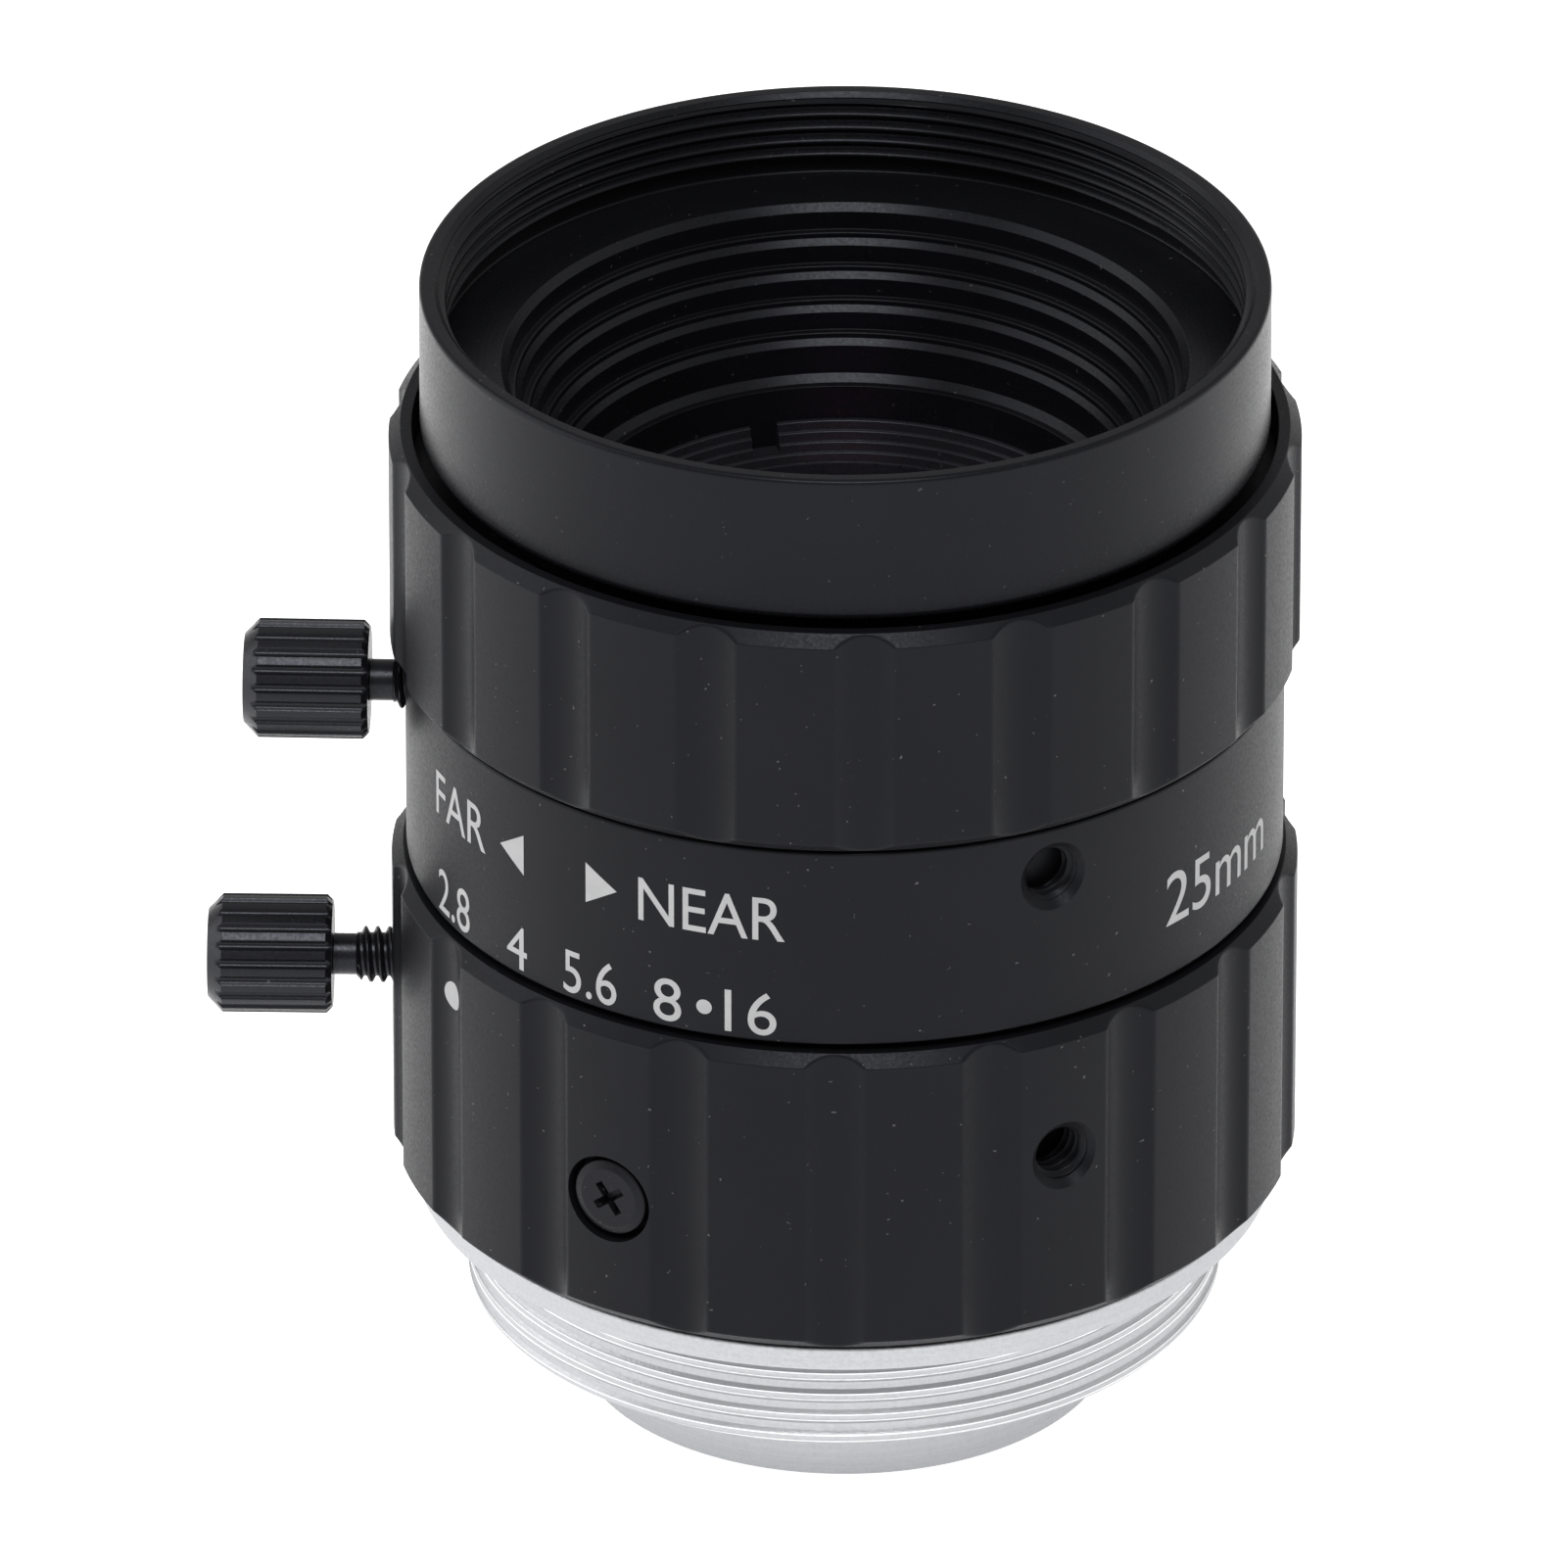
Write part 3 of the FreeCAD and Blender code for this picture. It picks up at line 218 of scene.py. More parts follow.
def subtract(bm, cutters):
    # takes solids that don't touch each other out of a solid, in one exact boolean
    joined = bmesh.new()
    for cutter in cutters:
        addMesh(joined, cutter)
    pair = []
    for source in (bm, joined):
        shape = bpy.data.meshes.new("solid")
        source.to_mesh(shape)
        source.free()
        holder = bpy.data.objects.new("solid", shape)
        bpy.context.scene.collection.objects.link(holder)
        pair.append(holder)
    cut = pair[0].modifiers.new("cut", "BOOLEAN")
    cut.operation = "DIFFERENCE"
    cut.solver = "EXACT"
    cut.object = pair[1]
    bpy.context.view_layer.update()
    ready = pair[0].evaluated_get(bpy.context.evaluated_depsgraph_get())
    result = bmesh.new()
    result.from_mesh(ready.to_mesh())
    ready.to_mesh_clear()
    for holder in pair:
        shape = holder.data
        bpy.data.objects.remove(holder)
        bpy.data.meshes.remove(shape)
    return result


def placeMesh(name, mesh, material, body, nodes):
    mesh.materials.clear()
    mesh.materials.append(material)
    piece = bpy.data.objects.new(name, mesh)
    bpy.context.scene.collection.objects.link(piece)
    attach(piece, body)
    if nodes:
        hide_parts(*nodes)
    return piece


def finishPiece(bm, name, material, body, nodes=(), place=None, sharpAngle=34):
    if place is not None:
        bmesh.ops.transform(bm, matrix=place, verts=bm.verts)
    bmesh.ops.scale(bm, vec=(mm, mm, mm), verts=bm.verts)
    mesh = bpy.data.meshes.new(name)
    bm.to_mesh(mesh)
    bm.free()
    mesh.shade_smooth()
    mesh.set_sharp_from_angle(angle=math.radians(sharpAngle))
    return placeMesh(name, mesh, material, body, nodes)


def plug(corners, place, steps=48):
    # a turned cutter along local Z, from (radius, height) corners that start and end on the axis
    bm = bmesh.new()
    spinLine(bm, corners, steps)
    bmesh.ops.transform(bm, matrix=place, verts=bm.verts)
    return bm


# Materials. Their patterns follow each piece's own object coordinates, in metres.

noiseBand = (0.3, 0.7)


def newMaterial(name):
    material = bpy.data.materials.new(name)
    material.use_nodes = True
    nodes = material.node_tree.nodes
    shader = nodes["Principled BSDF"]
    place = nodes.new("ShaderNodeTexCoord")
    return material, nodes, material.node_tree.links, shader, place


def noiseAt(nodes, links, source, scale, stretch=(1, 1, 1), detail=3):
    spread = nodes.new("ShaderNodeMapping")
    spread.inputs["Scale"].default_value = stretch
    links.new(source, spread.inputs["Vector"])
    noise = nodes.new("ShaderNodeTexNoise")
    noise.inputs["Scale"].default_value = scale
    noise.inputs["Detail"].default_value = detail
    links.new(spread.outputs["Vector"], noise.inputs["Vector"])
    return noise.outputs["Fac"]


def rangeOf(nodes, links, source, fromLow, fromHigh, toLow, toHigh):
    remap = nodes.new("ShaderNodeMapRange")
    remap.inputs["From Min"].default_value = fromLow
    remap.inputs["From Max"].default_value = fromHigh
    remap.inputs["To Min"].default_value = toLow
    remap.inputs["To Max"].default_value = toHigh
    links.new(source, remap.inputs["Value"])
    return remap.outputs["Result"]


def mixColour(nodes, links, share, first, second):
    mix = nodes.new("ShaderNodeMix")
    mix.data_type = "RGBA"
    links.new(share, mix.inputs["Factor"])
    for socket, value in ((mix.inputs[6], first), (mix.inputs[7], second)):
        if isinstance(value, tuple):
            socket.default_value = (*value, 1)
        else:
            links.new(value, socket)
    return mix.outputs[2]


def turnedCoordinates(nodes, links, place):
    # distance from the axis and height, so that lines run round the lens
    split = nodes.new("ShaderNodeSeparateXYZ")
    links.new(place.outputs["Object"], split.inputs["Vector"])
    flat = nodes.new("ShaderNodeCombineXYZ")
    links.new(split.outputs["X"], flat.inputs["X"])
    links.new(split.outputs["Y"], flat.inputs["Y"])
    length = nodes.new("ShaderNodeVectorMath")
    length.operation = "LENGTH"
    links.new(flat.outputs["Vector"], length.inputs[0])
    joined = nodes.new("ShaderNodeCombineXYZ")
    links.new(length.outputs["Value"], joined.inputs["X"])
    links.new(split.outputs["Z"], joined.inputs["Z"])
    return joined.outputs["Vector"]


def bumpFrom(nodes, links, height, strength, distance, below=None):
    bump = nodes.new("ShaderNodeBump")
    bump.inputs["Strength"].default_value = strength
    bump.inputs["Distance"].default_value = distance
    links.new(height, bump.inputs["Height"])
    if below is not None:
        links.new(below, bump.inputs["Normal"])
    return bump.outputs["Normal"]


def anodised(name, look):
    material, nodes, links, shader, place = newMaterial(name)
    here = place.outputs["Object"]
    cloud = noiseAt(nodes, links, here, look["cloudScale"])
    tone = mixColour(nodes, links, cloud, look["dark"], look["light"])
    dust = noiseAt(nodes, links, here, look["dustScale"], detail=1)
    dustFull = look["dustLevel"] + look["dustEdge"]
    specks = rangeOf(nodes, links, dust, look["dustLevel"], dustFull, 0, look["dustTone"])
    colour = mixColour(nodes, links, specks, tone, look["dustColour"])
    links.new(colour, shader.inputs["Base Color"])
    grain = noiseAt(nodes, links, here, look["grainScale"], detail=2)
    gloss = rangeOf(nodes, links, grain, *noiseBand, look["smoothest"], look["roughest"])
    links.new(gloss, shader.inputs["Roughness"])
    lines = noiseAt(nodes, links, turnedCoordinates(nodes, links, place), look["lineScale"], detail=2)
    turnedBump = bumpFrom(nodes, links, lines, look["lineStrength"], look["bumpDistance"])
    normal = bumpFrom(nodes, links, grain, look["grainStrength"], look["bumpDistance"], turnedBump)
    links.new(normal, shader.inputs["Normal"])
    shader.inputs["Metallic"].default_value = look["metal"]
    shader.inputs["IOR"].default_value = look["ior"]
    shader.inputs["Specular Tint"].default_value = look["sheen"]
    return material


barrelLook = {
    "dark": (0.0030, 0.0031, 0.0038), "light": (0.0052, 0.0053, 0.0064), "cloudScale": 260,
    "dustScale": 5200, "dustLevel": 0.775, "dustEdge": 0.012, "dustTone": 0.22,
    "dustColour": (0.3, 0.3, 0.29),
    "grainScale": 9000, "grainStrength": 0.16, "smoothest": 0.34, "roughest": 0.48,
    "lineScale": 9000, "lineStrength": 0.05, "bumpDistance": 0.00001, "metal": 0.0, "ior": 1.232,
    "sheen": (0.87, 0.89, 1, 1),
}
frontLook = dict(barrelLook, smoothest=0.25, roughest=0.38, lineStrength=0.3, lineScale=16000,
                 dustTone=0.12)
ringLook = dict(frontLook, dark=(0.009, 0.009, 0.011), light=(0.014, 0.014, 0.017), ior=1.32)
knobLook = dict(barrelLook, dark=(0.004, 0.004, 0.0048), light=(0.007, 0.007, 0.0082), smoothest=0.24,
                roughest=0.38, ior=1.34)
steelLook = dict(barrelLook, dark=(0.004, 0.004, 0.0048), light=(0.007, 0.007, 0.0082), smoothest=0.26,
                 roughest=0.38, ior=1.24)
foilLook = dict(barrelLook, dark=(0.012, 0.012, 0.012), light=(0.025, 0.025, 0.025), smoothest=0.3,
                roughest=0.45, metal=0.6)

barrelBlack = anodised("barrelBlack", barrelLook)
gripBlack = anodised("gripBlack", barrelLook)
frontBlack = anodised("frontBlack", frontLook)
ringBlack = anodised("ringBlack", ringLook)
knobBlack = anodised("knobBlack", knobLook)
screwSteel = anodised("screwSteel", steelLook)
irisFoil = anodised("irisFoil", foilLook)


def silverMetal(name, look):
    material, nodes, links, shader, place = newMaterial(name)
    lathe = turnedCoordinates(nodes, links, place)
    lines = noiseAt(nodes, links, lathe, look["lineScale"], detail=4)
    grain = noiseAt(nodes, links, place.outputs["Object"], look["grainScale"], detail=2)
    tone = mixColour(nodes, links, lines, look["dark"], look["light"])
    # painted highlight: the base colour turns pale in a thin band at the radius of the thread's crest
    # burrs, found by their distance from the axis, to stand in for the glint those burrs catch
    parts = nodes.new("ShaderNodeSeparateXYZ")
    links.new(lathe, parts.inputs["Vector"])
    burr = nodes.new("ShaderNodeMath")
    burr.operation = "COMPARE"
    links.new(parts.outputs["X"], burr.inputs[0])
    burr.inputs[1].default_value = look["paintedGlintR"]
    burr.inputs[2].default_value = look["paintedGlintBand"]
    crestGlintColour = mixColour(nodes, links, burr.outputs["Value"], tone, look["paintedGlintTone"])
    links.new(crestGlintColour, shader.inputs["Base Color"])
    gloss = rangeOf(nodes, links, grain, *noiseBand, look["smoothest"], look["roughest"])
    links.new(gloss, shader.inputs["Roughness"])
    turnedBump = bumpFrom(nodes, links, lines, look["lineStrength"], look["bumpDistance"])
    normal = bumpFrom(nodes, links, grain, look["grainStrength"], look["bumpDistance"], turnedBump)
    links.new(normal, shader.inputs["Normal"])
    shader.inputs["Metallic"].default_value = 1
    return material


# the pale tone at the crest-burr radius is a painted highlight, not a colour of the metal
mountSilver = silverMetal("mountSilver", {
    "dark": (0.39, 0.394, 0.406), "light": (0.49, 0.494, 0.508), "lineScale": 12000, "grainScale": 7500,
    "smoothest": 0.4, "roughest": 0.54, "lineStrength": 0.2, "grainStrength": 0.85,
    "bumpDistance": 0.00002, "paintedGlintR": 0.01272, "paintedGlintBand": 0.000014, "paintedGlintTone": (0.86, 0.862, 0.87),
})


def glassLike(name, look):
    material, nodes, links, shader, place = newMaterial(name)
    film = noiseAt(nodes, links, place.outputs["Object"], look["smearScale"])
    gloss = rangeOf(nodes, links, film, *look["smearBand"], 0, look["smear"])
    links.new(gloss, shader.inputs["Roughness"])
    shader.inputs["Base Color"].default_value = look["colour"]
    shader.inputs["Transmission Weight"].default_value = 1
    shader.inputs["IOR"].default_value = look["ior"]
    shader.inputs["Thin Film Thickness"].default_value = look["filmThickness"]
    shader.inputs["Thin Film IOR"].default_value = look["filmIor"]
    return material


coatedGlass = glassLike("coatedGlass", {
    "colour": (0.97, 0.99, 1, 1), "ior": 1.6, "filmThickness": 330, "filmIor": 1.38,
    "smearScale": 400, "smearBand": (0.35, 0.7), "smear": 0.02,
})
clearGlass = glassLike("clearGlass", {
    "colour": (0.98, 1, 0.99, 1), "ior": 1.5, "filmThickness": 0, "filmIor": 1.33,
    "smearScale": 400, "smearBand": (0.35, 0.7), "smear": 0.01,
})


def paint(name, look):
    material, nodes, links, shader, place = newMaterial(name)
    worn = noiseAt(nodes, links, place.outputs["Object"], look["wearScale"])
    tone = mixColour(nodes, links, worn, look["dark"], look["light"])
    links.new(tone, shader.inputs["Base Color"])
    grain = noiseAt(nodes, links, place.outputs["Object"], look["grainScale"])
    normal = bumpFrom(nodes, links, grain, look["grainStrength"], look["bumpDistance"])
    links.new(normal, shader.inputs["Normal"])
    shader.inputs["Roughness"].default_value = look["rough"]
    return material


markingWhite = paint("markingWhite", {
    "dark": (0.28, 0.28, 0.285), "light": (0.37, 0.37, 0.375), "wearScale": 1500, "grainScale": 12000,
    "grainStrength": 0.2, "bumpDistance": 0.00001, "rough": 0.6,
})
print("materials ready")


# The front barrel: bezel, filter thread and stepped hood.

frontBarrel = {
    "steps": 540, "baseZ": 15.8, "jointR": 10.9, "jointTop": 19.0, "neckR": 12.45,
    "bezelBase": 28.2, "bezelR": 14.15, "bezelFoot": 0.25, "frontZ": 33.4, "edge": 0.17, "rimInR": 13.5,
    "rimChamfer": 0.17, "undercutTop": 31.0, "undercutEnd": 30.95, "reliefR": 13.65, "shoulderZ": 30.35,
    "shoulderFillet": 0.12, "hoodR": 11.45, "chamfer": 0.25, "firstEdgeZ": 29.45, "stepZ": 1.03,
    "stepCount": 4, "ledge": 0.25, "lipZ": 0.19, "slope": 0.2, "lipFillet": 0.06, "lastLedgeZ": 24.7,
    "ringBoreR": 8.9, "seatZ": 20.4, "glassR": 8.5, "fine": 0.03,
}
filterThread = dict(plainThread, steps=360, pitch=0.5, crestFlat=0.02, rootFlat=0.02, crestR=13.25,
                    rootR=13.51, buriedR=13.75, bottom=31.05, top=33.2, leadSlope=3)


def buildFrontBarrel(size, thread):
    fine = size["fine"]
    shoulder = size["shoulderZ"]
    corners = [
        (size["jointR"], size["baseZ"]),
        (size["neckR"], size["baseZ"], fine),
        (size["neckR"], size["bezelBase"], fine),
        (size["bezelR"], size["bezelBase"], size["bezelFoot"]),
        (size["bezelR"], size["frontZ"], size["edge"]),
        (size["rimInR"] + size["rimChamfer"], size["frontZ"], fine),
        (size["rimInR"], size["frontZ"] - size["rimChamfer"], fine),
        (size["rimInR"], size["undercutTop"], fine),
        (size["reliefR"], size["undercutEnd"], fine),
        (size["reliefR"], shoulder, size["shoulderFillet"]),
        (size["hoodR"], shoulder, fine),
        (size["hoodR"] - size["chamfer"], shoulder - size["chamfer"], fine),
    ]
    # each step of the hood: a flat ledge, a short wall under its edge, then a slope to the next wall
    wallR = size["hoodR"] - size["chamfer"]
    for step in range(size["stepCount"]):
        edgeZ = size["firstEdgeZ"] - size["stepZ"] * step
        lipR = wallR - size["ledge"]
        corners += [(wallR, edgeZ, fine), (lipR, edgeZ, size["lipFillet"]),
                    (lipR, edgeZ - size["lipZ"], fine)]
        wallR = lipR - size["slope"]
        corners.append((wallR, edgeZ - size["lipZ"] - size["slope"], fine))
    corners += [
        (wallR, size["lastLedgeZ"] + size["chamfer"], fine),
        (wallR - size["chamfer"], size["lastLedgeZ"], fine),
        (size["ringBoreR"], size["lastLedgeZ"], fine),
        (size["ringBoreR"], size["seatZ"], fine),
        (size["glassR"], size["seatZ"]),
        (size["glassR"], size["jointTop"]),
        (size["jointR"], size["jointTop"]),
    ]
    bm = turned(corners, size["steps"])
    addMesh(bm, threadSleeve(thread))
    return finishPiece(bm, "front_barrel_skin", frontBlack, "lens_block", ["front_barrel"])


buildFrontBarrel(frontBarrel, filterThread)
print("front barrel built")

frontRing = {
    "steps": 360, "base": 20.45, "top": 23.5, "outerR": 8.9, "innerR": 8.1, "wall": 0.2, "edge": 0.03,
    "ridges": 4, "ridgeZ": 0.33, "ridgeFillet": 0.07, "ridgeLean": 0.03, "ridgeFoot": 0.02,
    "notchW": 0.95, "notchDepth": 0.9, "notchAzimuth": -161.7,
}


def buildFrontRing(size):
    ridgeR = (size["outerR"] - size["wall"] - size["innerR"]) / size["ridges"]
    corners = [(size["innerR"], size["base"]), (size["outerR"], size["base"]),
               (size["outerR"], size["top"], size["edge"])]
    for ridge in range(size["ridges"]):
        radius = size["outerR"] - size["wall"] - ridgeR * ridge
        height = size["top"] - size["ridgeZ"] * ridge
        corners.append((radius, height, size["ridgeFillet"]))
        corners.append((radius - size["ridgeLean"], height - size["ridgeZ"], size["ridgeFoot"]))
    corners.append((size["innerR"], size["top"] - size["ridgeZ"] * size["ridges"], size["ridgeFoot"]))
    bm = turned(corners, size["steps"])
    cutters = []
    for turn in (0, 180):
        cutter = bmesh.new()
        bmesh.ops.create_cube(cutter, size=1)
        box = (size["innerR"], size["notchW"], size["notchDepth"] * 2)
        bmesh.ops.scale(cutter, vec=box, verts=cutter.verts)
        turnBy = Matrix.Rotation(toRadians(size["notchAzimuth"] + turn), 4, "Z")
        outBy = Matrix.Translation((size["innerR"] - size["notchW"], 0, size["top"]))
        bmesh.ops.transform(cutter, matrix=turnBy @ outBy, verts=cutter.verts)
        cutters.append(cutter)
    bm = subtract(bm, cutters)
    return finishPiece(bm, "front_retaining_ring_skin", ringBlack, "lens_block",
                       ["front_retaining_ring"])


buildFrontRing(frontRing)

frontGlass = {
    "radius": 8.5, "poleZ": 22.6, "curve": 16.0, "thick": 2.6, "backCurve": 45.0, "rings": 24, "steps": 144,
}


def buildFrontGlass(size):
    line = []
    rings = size["rings"]
    for ring in range(rings + 1):
        radius = size["radius"] * ring / rings
        sag = size["curve"] - math.sqrt(size["curve"] ** 2 - radius ** 2)
        line.append((radius, size["poleZ"] - sag))
    for ring in range(rings, -1, -1):
        radius = size["radius"] * ring / rings
        sag = size["backCurve"] - math.sqrt(size["backCurve"] ** 2 - radius ** 2)
        line.append((radius, size["poleZ"] - size["thick"] - sag))
    bm = bmesh.new()
    spinLine(bm, line, size["steps"])
    return finishPiece(bm, "front_element_skin", coatedGlass, "lens_block",
                       ["front_element"])


buildFrontGlass(frontGlass)
print("front optics built")


# The fluted grip rings and the fixed barrel.

gripRing = {
    "steps": 1080, "landR": 15.2, "chamfer": 0.4, "fillet": 0.06, "grooveW": 2.1, "grooveDepth": 0.35,
    "grooveCount": 18, "grooveOver": 1.0, "soft": 0.012, "chamferRows": 6, "rimFillet": 0.04,
}


def gripOutline(size, base, top):
    # outer wall from the bottom edge to the top edge, with extra rows along each chamfer
    land = size["landR"]
    cut = size["chamfer"]
    rows = size["chamferRows"]
    low = [(land - cut + cut * row / rows, base + cut * row / rows) for row in range(1, rows)]
    high = [(radius, top - (height - base)) for radius, height in reversed(low)]
    return ([(land - cut, base, size["rimFillet"])] + low + [(land, base + cut, size["fillet"])]
            + [(land, top - cut, size["fillet"])] + high + [(land - cut, top, size["rimFillet"])])


def fluteSettings(size, ring):
    return {"width": size["grooveW"], "depth": size["grooveDepth"], "outerR": size["landR"],
            "count": size["grooveCount"], "phase": ring["phase"], "soft": size["soft"],
            "low": ring["base"] - size["grooveOver"], "high": ring["top"] + size["grooveOver"]}


focusRing = {
    "base": 19.95, "top": 28.1, "phase": 2.5, "lipR": 14.4, "lipDepth": 1.6, "lipFillet": 0.05,
    "boreR": 12.5, "skirtR": 13.5, "stepR": 13.1, "stepTop": 16.1, "skirtEnd": 15.15,
}


def buildFocusRing(size, grip):
    corners = [(size["boreR"], size["skirtEnd"]), (size["stepR"], size["skirtEnd"]),
               (size["stepR"], size["stepTop"]), (size["skirtR"], size["stepTop"]),
               (size["skirtR"], size["base"])]
    corners += gripOutline(grip, size["base"], size["top"])
    corners += [(size["lipR"], size["top"], size["lipFillet"]),
                (size["lipR"], size["top"] - size["lipDepth"]),
                (size["boreR"], size["top"] - size["lipDepth"])]
    bm = turned(corners, grip["steps"])
    cutGrooves(bm, fluteSettings(grip, size))
    return finishPiece(bm, "focus_ring_skin", gripBlack, "focus_ring", ["focus_ring"])


buildFocusRing(focusRing, gripRing)
print("focus ring built")

tapped = {
    "drillR": 1.0, "sinkR": 1.25, "sinkDepth": 0.25, "over": 0.4, "threadGap": 0.02,
    "thread": dict(plainThread, steps=48, pitch=0.4, crestFlat=0.05, rootFlat=0.05, crestR=0.8, rootR=1.0,
                   buriedR=1.12),
}


def tappedPlug(size, azimuth, height, wallIn, surfaceR):
    slope = (size["sinkR"] - size["drillR"]) / size["sinkDepth"]
    over = surfaceR + size["over"]
    sink = surfaceR - size["sinkDepth"]
    start = wallIn - size["over"]
    corners = [(0, start), (size["drillR"], start), (size["drillR"], sink),
               (size["drillR"] + (over - sink) * slope, over), (0, over)]
    return plug(corners, radialPlace(azimuth, 0, height))


def tappedThread(size, azimuth, height, wallIn, surfaceR):
    gap = size["threadGap"]
    thread = dict(size["thread"], bottom=wallIn + gap, top=surfaceR - size["sinkDepth"] - gap)
    sleeve = threadSleeve(thread)
    bmesh.ops.transform(sleeve, matrix=radialPlace(azimuth, 0, height), verts=sleeve.verts)
    return sleeve


fixedBarrel = {
    "steps": 720, "outerR": 14.7, "base": 12.55, "top": 19.8, "edge": 0.12, "collarR": 14.1,
    "shoulderZ": 16.2, "boreR": 13.55, "holeZ": 18.0, "holes": (-92.0, 28.0, 148.0),
}


def buildFixedBarrel(size, holes):
    corners = [
        (size["collarR"], size["base"]),
        (size["outerR"], size["base"], size["edge"]),
        (size["outerR"], size["top"], size["edge"]),
        (size["boreR"], size["top"]),
        (size["boreR"], size["shoulderZ"]),
        (size["collarR"], size["shoulderZ"]),
    ]
    bm = turned(corners, size["steps"])
    bm = subtract(bm, [tappedPlug(holes, azimuth, size["holeZ"], size["boreR"], size["outerR"])
                       for azimuth in size["holes"]])
    for azimuth in size["holes"][1:]:
        addMesh(bm, tappedThread(holes, azimuth, size["holeZ"], size["boreR"], size["outerR"]))
    return finishPiece(bm, "fixed_barrel_skin", barrelBlack, "housing", ["fixed_barrel"])


buildFixedBarrel(fixedBarrel, tapped)
print("fixed barrel built")

irisRing = {
    "base": 1.1, "top": 12.3, "phase": -1.2, "boreR": 13.45, "holeZ": 7.6,
    "holes": (-91.2, 28.8, 148.8), "driveAzimuth": -31.2, "driveZ": 5.72, "recessR": 1.58,
    "recessFloorR": 14.15, "recessSteps": 72, "pinR": 0.7,
}


def buildIrisRing(size, grip, holes):
    corners = [(size["boreR"], size["base"])]
    corners += gripOutline(grip, size["base"], size["top"])
    corners += [(size["boreR"], size["top"])]
    bm = turned(corners, grip["steps"])
    cutGrooves(bm, fluteSettings(grip, size))
    over = holes["over"]
    recess = [(0, size["boreR"] - over), (size["pinR"], size["boreR"] - over),
              (size["pinR"], size["recessFloorR"]), (size["recessR"], size["recessFloorR"]),
              (size["recessR"], grip["landR"] + over), (0, grip["landR"] + over)]
    recessPlace = radialPlace(size["driveAzimuth"], 0, size["driveZ"])
    cutters = [plug(recess, recessPlace, size["recessSteps"])]
    for azimuth in size["holes"]:
        cutters.append(tappedPlug(holes, azimuth, size["holeZ"], size["boreR"], grip["landR"]))
    bm = subtract(bm, cutters)
    for azimuth in size["holes"][1:]:
        addMesh(bm, tappedThread(holes, azimuth, size["holeZ"], size["boreR"], grip["landR"]))
    return finishPiece(bm, "iris_ring_skin", gripBlack, "iris_ring", ["iris_ring"])


buildIrisRing(irisRing, gripRing, tapped)
print("iris ring built")


# The lock screws and the iris drive screw.

knob = {
    "steps": 480, "shankRootR": 0.74, "neckR": 0.7, "neckLength": 0.8, "headR": 2.0,
    "headLength": 4.2, "endChamfer": 0.5, "backChamfer": 0.2, "knurlCount": 20, "knurlW": 0.32,
    "knurlDepth": 0.15, "knurlOver": 0.01, "soft": 0.008, "chamferRows": 6, "shankFillet": 0.03,
    "neckFillet": 0.02, "collarFillet": 0.05, "backFillet": 0.04, "shoulderFillet": 0.05, "endFillet": 0.06,
    "threadStart": 0.03, "threadGap": 0.01,
    "thread": dict(plainThread, steps=72, pitch=0.4, crestFlat=0.05, rootFlat=0.05, crestR=0.95, rootR=0.73,
                   buriedR=0.49),
}
focusKnob = {
    "name": "focus_lock_screw", "body": "focus_lock", "tipR": 13.55, "headR": 15.9, "azimuth": -92.0,
    "height": 18.0,
}
irisKnob = {
    "name": "iris_lock_screw", "body": "iris_lock", "tipR": 13.45, "headR": 17.2, "azimuth": -91.2,
    "height": 7.6,
}


def buildKnob(size, where):
    neckEnd = where["headR"] - where["tipR"]
    neckStart = neckEnd - size["neckLength"]
    headEnd = neckEnd + size["headLength"]
    head = size["headR"]
    end = size["endChamfer"]
    rows = size["chamferRows"]
    corners = [
        (0, 0),
        (size["shankRootR"], 0, size["shankFillet"]),
        (size["shankRootR"], neckStart, size["shankFillet"]),
        (size["neckR"], neckStart, size["neckFillet"]),
        (size["neckR"], neckEnd, size["collarFillet"]),
        (head - size["backChamfer"], neckEnd, size["backFillet"]),
        (head, neckEnd + size["backChamfer"], size["backFillet"]),
        (head, headEnd - end, size["shoulderFillet"]),
    ]
    corners += [(head - end * row / rows, headEnd - end + end * row / rows) for row in range(1, rows)]
    corners += [(head - end, headEnd, size["endFillet"]), (0, headEnd)]
    bm = bmesh.new()
    spinLine(bm, roundedLine(corners), size["steps"])
    cutGrooves(bm, {"width": size["knurlW"], "depth": size["knurlDepth"], "outerR": head,
                    "count": size["knurlCount"], "phase": 0, "soft": size["soft"],
                    "low": neckEnd - size["knurlOver"], "high": headEnd + size["knurlOver"]})
    thread = dict(size["thread"], bottom=size["threadStart"], top=neckStart - size["threadGap"])
    addMesh(bm, threadSleeve(thread))
    place = radialPlace(where["azimuth"], where["tipR"], where["height"])
    return finishPiece(bm, where["name"] + "_skin", knobBlack, where["body"],
                       [where["name"]], place)


buildKnob(knob, focusKnob)
buildKnob(knob, irisKnob)

driveScrew = {
    "pinR": 0.7, "tipR": 10.1, "floorR": 14.15, "headR": 1.36, "headT": 0.98, "armW": 0.4, "armLength": 1.7,
    "recessDepth": 0.5, "turn": 38.0, "taper": 0.5, "steps": 96, "pinFillet": 0.05, "seatFillet": 0.03,
    "crownDrop": 0.1, "crownW": 0.3, "sideFillet": 0.08, "crownFillet": 0.15,
}


